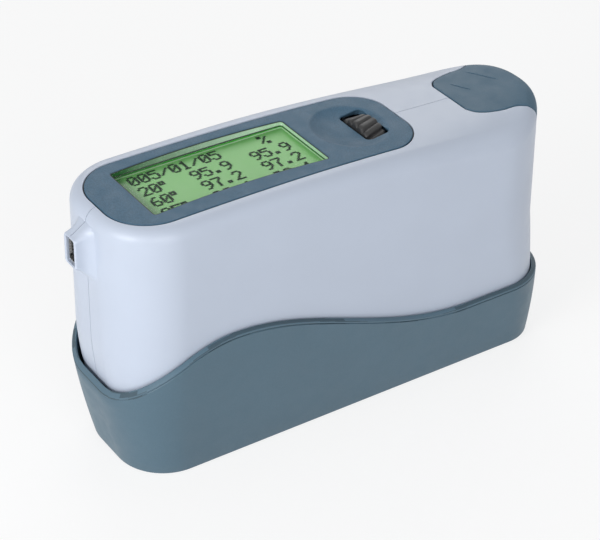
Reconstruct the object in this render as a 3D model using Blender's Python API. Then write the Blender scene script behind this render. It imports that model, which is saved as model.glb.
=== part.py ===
"""Gloss meter standing in its calibration holder.

Metres, +Z up. The origin is on the underside of the holder, below the middle of the meter. The meter's long
side runs along X, with the button at +X and the data socket at -X. The near side is -Y.
"""

import math

import bmesh
import bpy
from mathutils import Matrix, Vector

# Clearances
GAP = 0.0003
SEAM = 0.0003
HOLDER_FIT = 0.0004
HOLDER_LEFT_PLAY = 0.0008
TILE_AIR = 0.0006
BRACKET_ROOM = 0.0006
BRACKET_CORNER = 0.001
BLOCK_CORNER = 0.001

# Plan form that the meter and its holder share
LEFT_REACH = 0.0772
RIGHT_REACH = 0.0799
BODY_WIDTH = 0.048
CORNER_LEFT = 0.0195
CORNER_LEFT_LOW = 0.014
CORNER_RIGHT = 0.0232
CORNER_RIGHT_LOW = 0.011
CORNER_TOP = 0.048
SIDE_TUCK = 0.0043
SIDE_TUCK_TOP = 0.046
LEFT_TUCK = 0.0074
LEFT_TUCK_TOP = 0.045
RIGHT_TUCK = 0.0034
RIGHT_TUCK_TOP = 0.025
TUCK_POWER = 1.5
RIGHT_LEAN = 0.010
RIGHT_LEAN_TOP = 0.083

# Heights of the meter
METER_BOTTOM = 0.0157
METER_HEIGHT = 0.073
CROWN_X = -0.0362
CROWN_DROP = 0.00184
NOSE_START = 0.3755 * RIGHT_REACH
NOSE_RISE = 0.0031
SHOULDER_START = -0.0216
SHOULDER_DROP = 0.0074
SHOULDER_POWER = 1.74
EDGE_RADIUS = 0.0043
SMALLEST_EDGE = 0.0015
SMALLEST_RADIUS = 0.0002
HOUSING_WALL = 0.0022
BASE_THICKNESS = 0.003
BASE_CHAMFER = 0.0006

# Holder
HOLDER_WALL = 0.0016
HOLDER_FLOOR = 0.0024
HOLDER_EDGE_RADIUS = 0.0008
RIM_CREST = 0.0475
RIM_LOW = 0.0247
RIM_LEFT = 0.0305
RIM_CREST_X = -0.042
RIM_FALL_LENGTH = 0.083
RIM_LEFT_EASE = 0.42
RIM_SLOPE = 0.0005
RIM_BAND = 0.0013
RIM_GROOVE = 0.0003
RIM_LIP = 0.0004

# Calibration tile and the cradle that carries it
CRADLE_LENGTH = 0.116
CRADLE_WIDTH = 0.034
CRADLE_WALL = 0.002
CRADLE_CORNER = 0.004
TILE_LENGTH = 0.064
TILE_WIDTH = 0.020
TILE_THICKNESS = 0.005
TILE_EDGE = 0.0003

# Top panel, display window and display
PANEL_LEFT = 0.0037 - LEFT_REACH
PANEL_RIGHT = 0.0304
PANEL_HALF = 0.0185
PANEL_HALF_RIGHT = 0.0174
PANEL_RADIUS_LEFT = 0.0145
PANEL_RADIUS_RIGHT = 0.012
PANEL_EDGE = 0.0012
PANEL_THICKNESS = 0.0028
PANEL_LEDGE = 0.002
WINDOW_X = -0.0319
WINDOW_LENGTH = 0.0603
WINDOW_WIDTH = 0.0266
WINDOW_RADIUS = 0.0012
WINDOW_THICKNESS = 0.0011
WINDOW_SINK = 0.0002
WINDOW_LEDGE = 0.0007
LCD_MARGIN = 0.002
LCD_THICKNESS = 0.0018
BACKLIGHT_THICKNESS = 0.002
DISPLAY_FRAME_WALL = 0.0012
DISPLAY_BOARD_THICKNESS = 0.0016
DISPLAY_BOARD_MARGIN = 0.0006

# Jog wheel in its dish
WHEEL_X = 0.0195
WHEEL_RADIUS = 0.0108
WHEEL_WIDTH = 0.0074
WHEEL_RIBS = 22
WHEEL_RIB_DEPTH = 0.0005
WHEEL_EDGE = 0.0006
WHEEL_RISE = 0.0006
WHEEL_PRESS = 0.0004
SLOT_LENGTH = 0.0168
SLOT_WIDTH = 0.0085
SLOT_RADIUS = 0.0015
DISH_LEFT = 0.0020
DISH_RIGHT = 0.0285
DISH_HALF = 0.0139
DISH_DEPTH = 0.0024
DISH_SLOPE = 0.058
DISH_ROWS = 4
DISH_SIDES = 30
AXLE_RADIUS = 0.001
AXLE_HEAD = 0.0018
AXLE_SIDES = 14
EAR_THICKNESS = 0.0012
EAR_PLAY = 0.0005
EAR_RISE = 0.0026
FORK_BASE = 0.0012
FORK_HALF_WIDTH = 0.0035
FORK_CORNER = 0.002
FORK_MARGIN = 0.0014
FORK_PIN_RADIUS = 0.0011
FORK_PIN_RISE = 0.003
ENCODER_SIZE = 0.009
ENCODER_THICKNESS = 0.004
WHEEL_BOARD_LENGTH = 0.016
WHEEL_BOARD_THICKNESS = 0.0012
SWITCH_SIZE = 0.006
SWITCH_HEIGHT = 0.0024
SWITCH_CASE = 0.7
PLUNGER_RADIUS = 0.0016

# Operate button
BUTTON_LEFT = 0.6445 * RIGHT_REACH
BUTTON_LEFT_HALF = 0.0085
BUTTON_HALF = 0.0142
BUTTON_CORNER = 0.0052
BUTTON_WAIST = 0.0155
BUTTON_TIP_HALF = 0.0176
BUTTON_LOW = 0.0812
BUTTON_SKIN = 0.0024
BUTTON_TRAVEL = 0.0006
LINES = (((0.0056, 0.0069), (0.0089, 0.0007)), ((0.0147, 0.0108), (0.0199, 0.0007)))
LINE_WIDTH = 0.0006
LINE_DEPTH = 0.00025
LINE_STEPS = 3
BUTTON_STEM_RADIUS = 0.003
STEM_INWARD = 0.0105
STEM_PLAY = 0.0001
GUIDE_THICKNESS = 0.0016
GUIDE_ROOM = 0.0012
SPRING_RADIUS = 0.0051
SPRING_WIRE = 0.0003
SPRING_TURNS = 4.0
SPRING_RING_WALL = 0.001
SPRING_RING_RISE = 0.0015

# Data socket in its collar on the left end
COLLAR_FACE = -LEFT_REACH - 0.0054
COLLAR_HALF = 0.0034
COLLAR_HIGH = 0.0812
COLLAR_LOW = 0.0711
COLLAR_ROOF_RISE = 0.0055
COLLAR_FLOOR_DROP = 0.0085
COLLAR_FLARE = 0.0016
SOCKET_HEIGHT = 0.0077
SOCKET_WIDTH = 0.0039
SOCKET_DEPTH = 0.009
SOCKET_WALL = 0.0004
SOCKET_CORNER = 0.0008
SOCKET_BACK = 0.0015
SOCKET_SINK = 0.0008
SOCKET_ROOM = 0.0005
SOCKET_BOARD_THICKNESS = 0.0012
SOCKET_BOARD_LENGTH = 0.009
TONGUE_SINK = 0.001
TONGUE_THICKNESS = 0.001

# Optics
APERTURE_LENGTH = 0.676 * RIGHT_REACH
APERTURE_WIDTH = 0.012
APERTURE_CORNER = 0.003
OPTICS_HALF_THICKNESS = 0.011
CHANNEL_RADIUS = 0.0032
SEAT_RADIUS = 0.0045
SEAT_DEPTH = 0.009
MODULE_FLANGE = 0.0054
FLANGE_THICKNESS = 0.0015
MODULE_CAP = 0.0024
LENS_THICKNESS = 0.0022
REACH_20 = 0.0396
REACH_60 = 0.576 * RIGHT_REACH
REACH_85 = 0.25 * RIGHT_REACH
FOLD_X = 0.313 * RIGHT_REACH
FOLD_Z = 0.0024
FOLD_RISE = 24.0
CHAMBER_HEIGHT = 0.0024
CHAMBER_MARGIN = 0.006
FACET_DROP = 0.0025
CREST_RISE = 0.0015
MIRROR_LENGTH = 0.0021
MIRROR_HALF = 0.004
MIRROR_HIGH = 0.0007
MIRROR_LOW = 0.0003

# Boards, battery, chassis, posts
BOARD_THICKNESS = 0.0016
BOARD_MARGIN = 0.002
BOARD_NOTCH = 0.006
LOW_BOARD_SCREW = (0.022, 0.009)
CHASSIS_THICKNESS = 0.0016
CHASSIS_WINDOW = (0.020, 0.024, 0.008)
CHASSIS_WINDOWS_X = (-0.050, -0.022)
PILLAR_RADIUS = 0.0022
POST_RADIUS = 0.003
POST_LEFT_X = 0.0082 - LEFT_REACH
BOSSES_X = (-0.6736 * LEFT_REACH, 0.4255 * RIGHT_REACH)
BATTERY_X = 0.8135 * RIGHT_REACH
BATTERY_RADIUS = 0.0071
BATTERY_LENGTH = 0.0495
BATTERY_NUB = 0.001
BATTERY_NUB_RADIUS = 0.0026
CELL_EDGE = 0.0007
TUBE_ROOM = 0.0005
TUBE_WALL = 0.0012
COVER_THICKNESS = 0.0026
COIN_SLOT = (0.0016, 0.011, 0.0024)
CONTACT_HEIGHT = 0.0045
CONTACT_COIL_RADIUS = 0.0042
CONTACT_TURNS = 3.0
CONTACT_RADIUS = 0.005
CONTACT_THICKNESS = 0.0005

# Fasteners
SCREW_RADIUS = 0.0013
SCREW_HEAD = 0.0025
SCREW_HEAD_HEIGHT = 0.0016
HEAD_SINK = 0.0006
SCREW_REACH = 0.010
BOSS_HEIGHT = 0.009
BASE_SCREW_LENGTH = 0.008
HOUSING_SCREW_LENGTH = 0.018
BOARD_SCREW_LENGTH = 0.006
DISPLAY_SCREW_LENGTH = 0.007

# Parts soldered to the main board: place along X, rise, length, height, thickness
BOARD_CHIPS = (
    (-0.040, 0.024, 0.014, 0.014, 0.0018),
    (-0.012, 0.018, 0.009, 0.006, 0.0020),
    (0.030, 0.020, 0.010, 0.010, 0.0024),
)

# Facets
ARC_STEPS = 6
SIDE_STEPS = 5
RIM_STEPS = 14
EDGE_STEPS = 4
ROUND_SIDES = 16
HEAD_SIDES = 12
HOLE_SIDES = 8
CAP_SHARES = (0.12, 0.3, 0.7, 0.88)

# How far a cutter runs past what it opens, and how deep a joined piece reaches into its carrier
OVERRUN = 0.004
ROOT = 0.0005

CROWN_TOP = METER_BOTTOM + METER_HEIGHT
HOUSING_BOTTOM = METER_BOTTOM + BASE_THICKNESS + GAP


def clear_scene():
    for obj in list(bpy.data.objects):
        bpy.data.objects.remove(obj)


def material(name, colour, roughness, metallic=0.0, alpha=1.0):
    """A plain material in linear colour."""
    made = bpy.data.materials.new(name)
    made.use_nodes = True
    shader = made.node_tree.nodes["Principled BSDF"]
    shader.inputs["Base Color"].default_value = (*colour, 1.0)
    shader.inputs["Roughness"].default_value = roughness
    shader.inputs["Metallic"].default_value = metallic
    shader.inputs["Alpha"].default_value = alpha
    return made


def add_object(name, bm, finish):
    """A mesh object made from a bmesh, with rounded faces shaded smooth."""
    mesh = bpy.data.meshes.new(name)
    bmesh.ops.recalc_face_normals(bm, faces=bm.faces[:])
    bm.to_mesh(mesh)
    bm.free()
    mesh.materials.append(finish)
    mesh.shade_smooth()
    mesh.set_sharp_from_angle(angle=math.radians(35))
    obj = bpy.data.objects.new(name, mesh)
    bpy.context.scene.collection.objects.link(obj)
    return obj


def add_each(name, shapes, finish):
    """One numbered object for each of several like pieces."""
    return [add_object(f"{name}_{i + 1}", shape, finish) for i, shape in enumerate(shapes)]


def cutter(name, bm):
    """A shape that only cuts or joins other pieces."""
    obj = add_object(name, bm, bpy.data.materials["guide"])
    obj.hide_render = True
    obj.display_type = "WIRE"
    return obj


def combine(target, operation, *shapes):
    for shape in shapes:
        step = target.modifiers.new(shape.name, "BOOLEAN")
        step.operation = operation
        step.solver = "EXACT"
        step.object = shape
    return target


def cut(target, *shapes):
    return combine(target, "DIFFERENCE", *shapes)


def join(target, *shapes):
    return combine(target, "UNION", *shapes)


def keep(target, *shapes):
    return combine(target, "INTERSECT", *shapes)


# The plan form: a rounded box whose ends and sides draw in towards the floor


def tuck(z, depth, top):
    below = max(0.0, (top - z) / top)
    return depth * below**TUCK_POWER


def form_limits(z, play=0.0):
    """Left end, right end and half width of the form at one height."""
    left = -LEFT_REACH + tuck(z, LEFT_TUCK, LEFT_TUCK_TOP) - play
    right = RIGHT_REACH + RIGHT_LEAN * (RIGHT_LEAN_TOP - z) - tuck(z, RIGHT_TUCK, RIGHT_TUCK_TOP)
    half = BODY_WIDTH / 2 - tuck(z, SIDE_TUCK, SIDE_TUCK_TOP)
    return left, right, half


def corner_radii(z, half):
    """Radii of the plan corners at the left and right end, which grow from the floor upwards."""
    share = min(1.0, z / CORNER_TOP)
    left = CORNER_LEFT_LOW + (CORNER_LEFT - CORNER_LEFT_LOW) * share
    right = CORNER_RIGHT_LOW + (CORNER_RIGHT - CORNER_RIGHT_LOW) * share
    return min(left, 0.98 * half), min(right, 0.98 * half)


def form_stations(side_steps):
    """Places along the near half of the plan outline, from the left end round to the right end."""
    turn = math.pi / 2
    left = [("left", 2 * turn + turn * i / ARC_STEPS) for i in range(ARC_STEPS + 1)]
    side = [("side", i / side_steps) for i in range(1, side_steps)]
    right = [("right", 3 * turn + turn * i / ARC_STEPS) for i in range(ARC_STEPS + 1)]
    return left + side + right


def form_point(station, z, grow=0.0, play=0.0):
    """The point of the form at one station and height, moved outwards by grow."""
    kind, value = station
    left, right, half = form_limits(z, play)
    turn_left, turn_right = corner_radii(z, half)
    start = left + turn_left
    end = right - turn_right
    if kind == "side":
        return Vector((start + (end - start) * value, -half - grow, z))
    centre_x, radius = (start, turn_left) if kind == "left" else (end, turn_right)
    reach = radius + grow
    return Vector((centre_x + reach * math.cos(value), radius - half + reach * math.sin(value), z))


def mirrored(near):
    """A closed ring from its near half, which runs from the left end to the right end."""
    return near + [Vector((p.x, -p.y, p.z)) for p in reversed(near)]


def form_ring(height, grow=0.0, play=0.0, side_steps=SIDE_STEPS):
    """A ring round the form, moved outwards by grow. Height is a number or a function of the place."""
    near = []
    for station in form_stations(side_steps):
        z = height(form_point(station, CROWN_TOP, grow)) if callable(height) else height
        near.append(form_point(station, z, grow, play))
    return mirrored(near)


def crown_height(x, y=0.0):
    """Height of the top: a long crown along X, a nose that lifts, and shoulders that fall away beside it."""
    nose = max(0.0, (x - NOSE_START) / (RIGHT_REACH - NOSE_START))
    shoulder = max(0.0, (x - SHOULDER_START) / (RIGHT_REACH - SHOULDER_START))
    drop = CROWN_DROP * ((x - CROWN_X) / LEFT_REACH) ** 2
    fall = SHOULDER_DROP * shoulder**SHOULDER_POWER * (2 * abs(y) / BODY_WIDTH) ** 4
    return CROWN_TOP - drop + NOSE_RISE * nose**3 - fall


def cap(bm, row, crown=None):
    """Closes a ring across its width, flat or over a crown, which is a function of the place."""
    columns = []
    last = len(row) // 2 - 1
    for i, near in enumerate(row[: last + 1]):
        far = row[-1 - i]
        between = []
        for share in CAP_SHARES if crown and 0 < i < last else ():
            spot = near.co.lerp(far.co, share)
            between.append(bm.verts.new((spot.x, spot.y, crown(spot.x, spot.y))))
        columns.append([near, *between, far])
    made = []
    for a, b in zip(columns, columns[1:]):
        if len(a) != len(b):
            made.append(bm.faces.new([*a, *reversed(b)]))
            continue
        for i in range(len(a) - 1):
            made.append(bm.faces.new((a[i], b[i], b[i + 1], a[i + 1])))
    if crown:
        bmesh.ops.triangulate(bm, faces=made)


def loft(rings, crown=None):
    """A closed bmesh through rings of equal length, with a flat bottom and a flat or crowned top."""
    bm = bmesh.new()
    rows = [[bm.verts.new(p) for p in ring] for ring in rings]
    count = len(rows[0])
    for low, high in zip(rows, rows[1:]):
        for i in range(count):
            j = (i + 1) % count
            bm.faces.new((low[i], low[j], high[j], high[i]))
    cap(bm, rows[0])
    cap(bm, rows[-1], crown)
    return bm


def body_solid(bottom, shrink, steps=EDGE_STEPS, levels=4):
    """The meter's body from its bottom up over the rounded top edge, moved inwards by shrink."""
    radius = max(EDGE_RADIUS - shrink, SMALLEST_EDGE)
    rings = [form_ring(bottom + (SIDE_TUCK_TOP - bottom) * i / (levels - 1), -shrink) for i in range(levels)]
    for i in range(steps + 1):
        turn = math.pi / 2 * i / steps
        fall = shrink + radius * (1 - math.sin(turn))
        inwards = shrink + radius * (1 - math.cos(turn))
        rings.append(form_ring(lambda spot: crown_height(spot.x, spot.y) - fall, -inwards))
    return loft(rings, lambda x, y: crown_height(x, y) - shrink)


# Outlines that are alike on both sides of the middle, given as their near half from left to right


def near_half(ends, halves, radii, arc_steps=ARC_STEPS, side_steps=SIDE_STEPS):
    """Near half of an outline with straight ends and round corners, from pairs of (left, right) values."""
    left, right = ends
    half_left, half_right = halves
    radius_left, radius_right = radii
    points = []
    for i in range(arc_steps + 1):
        a = math.pi + math.pi / 2 * i / arc_steps
        points.append((left + radius_left * (1 + math.cos(a)), radius_left * (1 + math.sin(a)) - half_left))
    start = left + radius_left
    end = right - radius_right
    for i in range(1, side_steps):
        f = i / side_steps
        points.append((start + (end - start) * f, -half_left - (half_right - half_left) * f))
    for i in range(arc_steps + 1):
        a = 1.5 * math.pi + math.pi / 2 * i / arc_steps
        points.append((end + radius_right * math.cos(a), radius_right * (1 + math.sin(a)) - half_right))
    return points


def panel_half(inset=0.0):
    """Near half of the top panel's outline."""
    halves = (PANEL_HALF - inset, PANEL_HALF_RIGHT - inset)
    radii = (PANEL_RADIUS_LEFT - inset, PANEL_RADIUS_RIGHT - inset)
    return near_half((PANEL_LEFT + inset, PANEL_RIGHT - inset), halves, radii)


def window_half(inset):
    """Near half of the display window's outline."""
    half = WINDOW_WIDTH / 2 - inset
    radius = max(WINDOW_RADIUS - inset, SMALLEST_RADIUS)
    left = WINDOW_X - WINDOW_LENGTH / 2 + inset
    right = WINDOW_X + WINDOW_LENGTH / 2 - inset
    return near_half((left, right), (half, half), (radius, radius), 3, SIDE_STEPS)


def spline(p, q, r, s, t):
    """One coordinate on a smooth curve between q and r."""
    square = 2 * p - 5 * q + 4 * r - s
    cube = 3 * q - p - 3 * r + s
    return q + 0.5 * ((r - p) * t + square * t**2 + cube * t**3)


def smooth_chain(corners, steps):
    """A smooth open curve through plan points."""
    padded = [corners[0], *corners, corners[-1]]
    points = []
    for spans in zip(padded, padded[1:], padded[2:], padded[3:]):
        for i in range(steps):
            points.append(tuple(spline(*values, i / steps) for values in zip(*spans)))
    points.append(tuple(corners[-1]))
    return points


def button_half(inset=0.0):
    """Near half of the button's outline: straight left edge, round corner, long side and flared end."""
    right = form_limits(BUTTON_LOW)[1]
    left = BUTTON_LEFT
    waist = left + BUTTON_WAIST
    corners = [
        (left, -BUTTON_LEFT_HALF),
        (left + 0.35 * BUTTON_CORNER, -(BUTTON_LEFT_HALF + BUTTON_HALF) / 2),
        (left + BUTTON_CORNER, -0.92 * BUTTON_HALF),
        ((left + BUTTON_CORNER + waist) / 2, -BUTTON_HALF),
        (waist, -1.02 * BUTTON_HALF),
        ((waist + right) / 2 - 0.002, -(BUTTON_HALF + 2 * BUTTON_TIP_HALF) / 3),
        (right - 0.004, -BUTTON_TIP_HALF),
        (right + OVERRUN, -BUTTON_TIP_HALF),
    ]
    return [(x + inset, y + inset) for x, y in smooth_chain(corners, 3)]


def flat_loft(levels):
    """A solid through (near half outline, height) levels."""
    return loft([mirrored([Vector((x, y, z)) for x, y in half]) for half, z in levels])


def crown_loft(levels):
    """A solid through (near half outline, height over the crowned top) levels."""
    rings = [[Vector((x, y, crown_height(x, y) + rise)) for x, y in half] for half, rise in levels]
    return loft([mirrored(ring) for ring in rings])


def ring_solid(sections):
    """A closed solid through any rings of points, with flat caps."""
    bm = bmesh.new()
    rows = [[bm.verts.new(p) for p in section] for section in sections]
    count = len(rows[0])
    for low, high in zip(rows, rows[1:]):
        for i in range(count):
            j = (i + 1) % count
            bm.faces.new((low[i], low[j], high[j], high[i]))
    bm.faces.new(rows[0])
    bm.faces.new(rows[-1])
    return bm


def along_y(profile, low, high):
    """A prism of an XZ profile between two places along Y."""
    return ring_solid([[Vector((x, y, z)) for x, z in profile] for y in (low, high)])


def upright(outline, low, high):
    """A prism of an XY outline between two heights."""
    return ring_solid([[Vector((x, y, z)) for x, y in outline] for z in (low, high)])


def rounded_box(x, y, length, width, radius, steps=4):
    """Plan outline of a rectangle with rounded corners, centred on x and y."""
    r = min(radius, 0.49 * length, 0.49 * width)
    points = []
    for quarter, (sx, sy) in enumerate(((1, 1), (-1, 1), (-1, -1), (1, -1))):
        cx = x + sx * (length / 2 - r)
        cy = y + sy * (width / 2 - r)
        for i in range(steps + 1):
            a = math.pi / 2 * (quarter + i / steps)
            points.append((cx + r * math.cos(a), cy + r * math.sin(a)))
    return points


def block(centre, size, radius=0.0004, steps=2):
    """A box with rounded upright edges, from its centre and its size."""
    outline = rounded_box(centre[0], centre[1], size[0], size[1], radius, steps)
    return upright(outline, centre[2] - size[2] / 2, centre[2] + size[2] / 2)


def circle(radius, sides=ROUND_SIDES):
    turns = [2 * math.pi * i / sides for i in range(sides)]
    return [(radius * math.cos(a), radius * math.sin(a)) for a in turns]


def turned(profile, sides=ROUND_SIDES):
    """A turned solid round Z from (radius, height) points of its outer side, from bottom to top."""
    return ring_solid([[Vector((x, y, z)) for x, y in circle(r, sides)] for r, z in profile])


def peg(radius, low, high, sides=HEAD_SIDES):
    """A straight round bar round Z."""
    return turned([(radius, low), (radius, high)], sides)


def screw_hole(low, high):
    return peg(SCREW_RADIUS + GAP, low, high, HOLE_SIDES)


def head_hole(low, high):
    return peg(SCREW_HEAD + GAP, low, high)


def tube(outer, inner, low, high, sides=ROUND_SIDES):
    """A straight tube round Z."""
    bm = bmesh.new()
    profile = ((outer, low), (outer, high), (inner, high), (inner, low))
    rows = [[bm.verts.new((x, y, z)) for x, y in circle(r, sides)] for r, z in profile]
    for low_row, high_row in zip(rows, rows[1:] + rows[:1]):
        for i in range(sides):
            j = (i + 1) % sides
            bm.faces.new((low_row[i], low_row[j], high_row[j], high_row[i]))
    return bm


def placed(bm, place, axis=(0, 0, 1)):
    """Turns a bmesh made round Z to another axis and moves it to its place."""
    turn = Vector((0, 0, 1)).rotation_difference(Vector(axis)).to_matrix().to_4x4()
    bmesh.ops.transform(bm, matrix=Matrix.Translation(place) @ turn, verts=bm.verts[:])
    return bm


def gathered(shapes):
    """One bmesh that holds several separate solids."""
    whole = bmesh.new()
    for shape in shapes:
        moved = {v: whole.verts.new(v.co) for v in shape.verts}
        for face in shape.faces:
            whole.faces.new([moved[v] for v in face.verts])
        shape.free()
    return whole


def coil(radius, wire, low, high, turns, steps=10, sides=4):
    """A coil spring round Z with its wire ends cut flat."""
    rings = []
    count = int(turns * steps)
    climb = high - low - 2 * wire
    for i in range(count + 1):
        a = 2 * math.pi * turns * i / count
        centre = Vector((radius * math.cos(a), radius * math.sin(a), low + wire + climb * i / count))
        out = Vector((math.cos(a), math.sin(a), 0))
        ring = []
        for k in range(sides):
            b = 2 * math.pi * k / sides
            ring.append(centre + wire * (math.cos(b) * out + math.sin(b) * Vector((0, 0, 1))))
        rings.append(ring)
    return ring_solid(rings)


def screw(length):
    """A pan head screw round Z with its head's underside at zero."""
    profile = [
        (SCREW_RADIUS, -length),
        (SCREW_RADIUS, 0.0),
        (SCREW_HEAD, 0.0),
        (SCREW_HEAD, 0.6 * SCREW_HEAD_HEIGHT),
        (0.7 * SCREW_HEAD, SCREW_HEAD_HEIGHT),
    ]
    return turned(profile, HOLE_SIDES)


def pivot(name, place):
    """An empty on a joint's axis that carries the pieces that move with it."""
    empty = bpy.data.objects.new(name, None)
    empty.location = place
    empty.empty_display_size = 0.01
    bpy.context.scene.collection.objects.link(empty)
    return empty


def carry(parent, *pieces):
    """Hangs pieces on a parent and leaves them where they are."""
    for piece in pieces:
        piece.parent = parent
        piece.matrix_parent_inverse = Matrix.Translation(parent.location).inverted()


# Housing


def post_places():
    """Places in XZ of the four posts that the housing screws go into."""
    tube_edge = BATTERY_X - BATTERY_RADIUS - TUBE_ROOM - TUBE_WALL
    right = tube_edge - GAP - POST_RADIUS
    low = HOUSING_BOTTOM + POST_RADIUS + 0.001
    high = chassis_bottom() - GAP - POST_RADIUS
    return [(POST_LEFT_X, low), (POST_LEFT_X, high), (right, low), (right, high)]


def base_boss_places():
    """Places in XY of the four bosses that the base plate is screwed to."""
    half = form_limits(HOUSING_BOTTOM)[2] - HOUSING_WALL
    reach = half - 0.6 * POST_RADIUS
    return [(x, side * reach) for x in BOSSES_X for side in (-1, 1)]


def chassis_bottom():
    """Underside of the chassis, just over the lamps of the steepest pair."""
    tilt = math.radians(20)
    top = (REACH_20 + 0.0045) * math.cos(tilt) + MODULE_FLANGE * math.sin(tilt)
    return METER_BOTTOM + top + GAP


def collar():
    """The raised collar round the data socket, a wedge that grows out of the left end."""
    root = -LEFT_REACH + HOUSING_WALL / 2
    sections = []
    for x, half, low, high in (
        (COLLAR_FACE, COLLAR_HALF, COLLAR_LOW, COLLAR_HIGH),
        (root, COLLAR_HALF + COLLAR_FLARE, COLLAR_LOW - COLLAR_FLOOR_DROP, COLLAR_HIGH + COLLAR_ROOF_RISE),
    ):
        outline = rounded_box(0.0, (low + high) / 2, 2 * half, high - low, 0.0010, 3)
        sections.append([Vector((x, y, z)) for y, z in outline])
    return ring_solid(sections)


def socket_centre():
    return (COLLAR_LOW + COLLAR_HIGH) / 2


def socket_opening():
    width = SOCKET_WIDTH + 2 * SOCKET_ROOM
    outline = rounded_box(0.0, socket_centre(), width, SOCKET_HEIGHT + 2 * SOCKET_ROOM, 0.0006, 2)
    ends = (COLLAR_FACE - OVERRUN, -LEFT_REACH + 2 * HOUSING_WALL)
    return ring_solid([[Vector((x, y, z)) for y, z in outline] for x in ends])


def form_half_at(x, z):
    """Half width of the form at one place along X, also where the corners turn in."""
    left, right, half = form_limits(z)
    turn_left, turn_right = corner_radii(z, half)
    radius, into = turn_left, left + turn_left - x
    if x > 0.0:
        radius, into = turn_right, x - right + turn_right
    return half - radius + math.sqrt(radius**2 - min(max(into, 0.0), radius) ** 2)


def post_wall(x, z):
    """Half width where a post meets the wall, at the narrowest place across the post and its screw's head."""
    reach = max(POST_RADIUS, SCREW_HEAD + GAP)
    return min(form_half_at(x + dx, z + dz) for dx in (-reach, reach) for dz in (-reach, reach))


def housing_post(place, side):
    """A post from the seam back into the wall of one half."""
    x, z = place
    wall = post_wall(x, z) - HOUSING_WALL / 2
    ends = (SEAM, wall) if side > 0 else (-wall, -SEAM)
    return placed(peg(POST_RADIUS, *ends), (x, 0, z), (0, 1, 0))


def base_boss(place):
    return placed(peg(POST_RADIUS, HOUSING_BOTTOM, HOUSING_BOTTOM + BOSS_HEIGHT), (*place, 0))


def housing(name, side, shapes, finish):
    """One half of the housing: a shell with posts and bosses, cut for the panel, button and socket."""
    half = add_object(name, body_solid(HOUSING_BOTTOM, 0.0), finish)
    join(half, shapes["collar"])
    cut(half, shapes["cavity"])
    posts = [housing_post(place, side) for place in post_places()]
    bosses = [base_boss(place) for place in base_boss_places() if place[1] * side > 0]
    join(half, cutter(f"{name}_posts", gathered(posts)), cutter(f"{name}_bosses", gathered(bosses)))
    middle = side * (BODY_WIDTH + SEAM) / 2
    size = (4 * LEFT_REACH, BODY_WIDTH, 2 * CROWN_TOP)
    keep(half, cutter(f"{name}_half", block((0, middle, CROWN_TOP), size)))
    cut(half, shapes["panel_seat"], shapes["panel_through"], shapes["button_room"], shapes["socket_room"])
    cut(half, shapes["post_holes"], shapes["boss_holes"])
    if side > 0:
        cut(half, shapes["head_holes"])
    return half


def housing_shapes():
    """The shapes that both halves of the housing are cut with."""
    half = BODY_WIDTH / 2
    holes = []
    heads = []
    for x, z in post_places():
        holes.append(placed(screw_hole(-SCREW_REACH, half), (x, 0, z), (0, 1, 0)))
        heads.append(placed(head_hole(head_seat(x, z) - GAP, half + OVERRUN), (x, 0, z), (0, 1, 0)))
    boss_top = HOUSING_BOTTOM + BOSS_HEIGHT - 0.002
    boss_low = HOUSING_BOTTOM - OVERRUN
    boss_holes = [placed(screw_hole(boss_low, boss_top), (*place, 0)) for place in base_boss_places()]
    seat = [(panel_half(), -(PANEL_EDGE + GAP)), (panel_half(), OVERRUN)]
    through = [(panel_half(PANEL_LEDGE), -2 * OVERRUN), (panel_half(PANEL_LEDGE), OVERRUN)]
    return {
        "collar": cutter("collar_form", collar()),
        "cavity": cutter("housing_cavity", body_solid(HOUSING_BOTTOM - ROOT, HOUSING_WALL, 2, 3)),
        "panel_seat": cutter("panel_seat", crown_loft(seat)),
        "panel_through": cutter("panel_through", crown_loft(through)),
        "button_room": cutter("button_room", button_slab(0.0, BUTTON_LOW - BUTTON_TRAVEL - GAP)),
        "socket_room": cutter("socket_room", socket_opening()),
        "post_holes": cutter("post_holes", gathered(holes)),
        "head_holes": cutter("head_holes", gathered(heads)),
        "boss_holes": cutter("boss_holes", gathered(boss_holes)),
    }


def head_seat(x, z):
    """Place along Y of a housing screw's head, just inside the far face."""
    return post_wall(x, z) - SCREW_HEAD_HEIGHT - HEAD_SINK


def housing_screws(finish):
    places = [(x, head_seat(x, z), z) for x, z in post_places()]
    screws = [placed(screw(HOUSING_SCREW_LENGTH), place, (0, 1, 0)) for place in places]
    return add_each("housing_screw", screws, finish)


# Top panel with its window, dish and slot


def dish():
    """The scoop round the wheel: the bottom of a ball, stretched along Y, with a floor that rises to the right."""
    half_x = (DISH_RIGHT - DISH_LEFT) / 2
    radius = (half_x**2 + DISH_DEPTH**2) / (2 * DISH_DEPTH)
    stretch = DISH_HALF / half_x
    centre_x = (DISH_LEFT + DISH_RIGHT) / 2
    middle = crown_height(centre_x) + radius - DISH_DEPTH
    reach = math.asin(half_x / radius)
    sections = []
    for i in range(1, DISH_ROWS + 3):
        a = reach * i / DISH_ROWS
        z = middle - radius * math.cos(a)
        ring = circle(radius * math.sin(a), DISH_SIDES)
        sections.append([Vector((centre_x + x, stretch * y, z + DISH_SLOPE * (half_x + x))) for x, y in ring])
    return ring_solid(sections)


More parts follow.
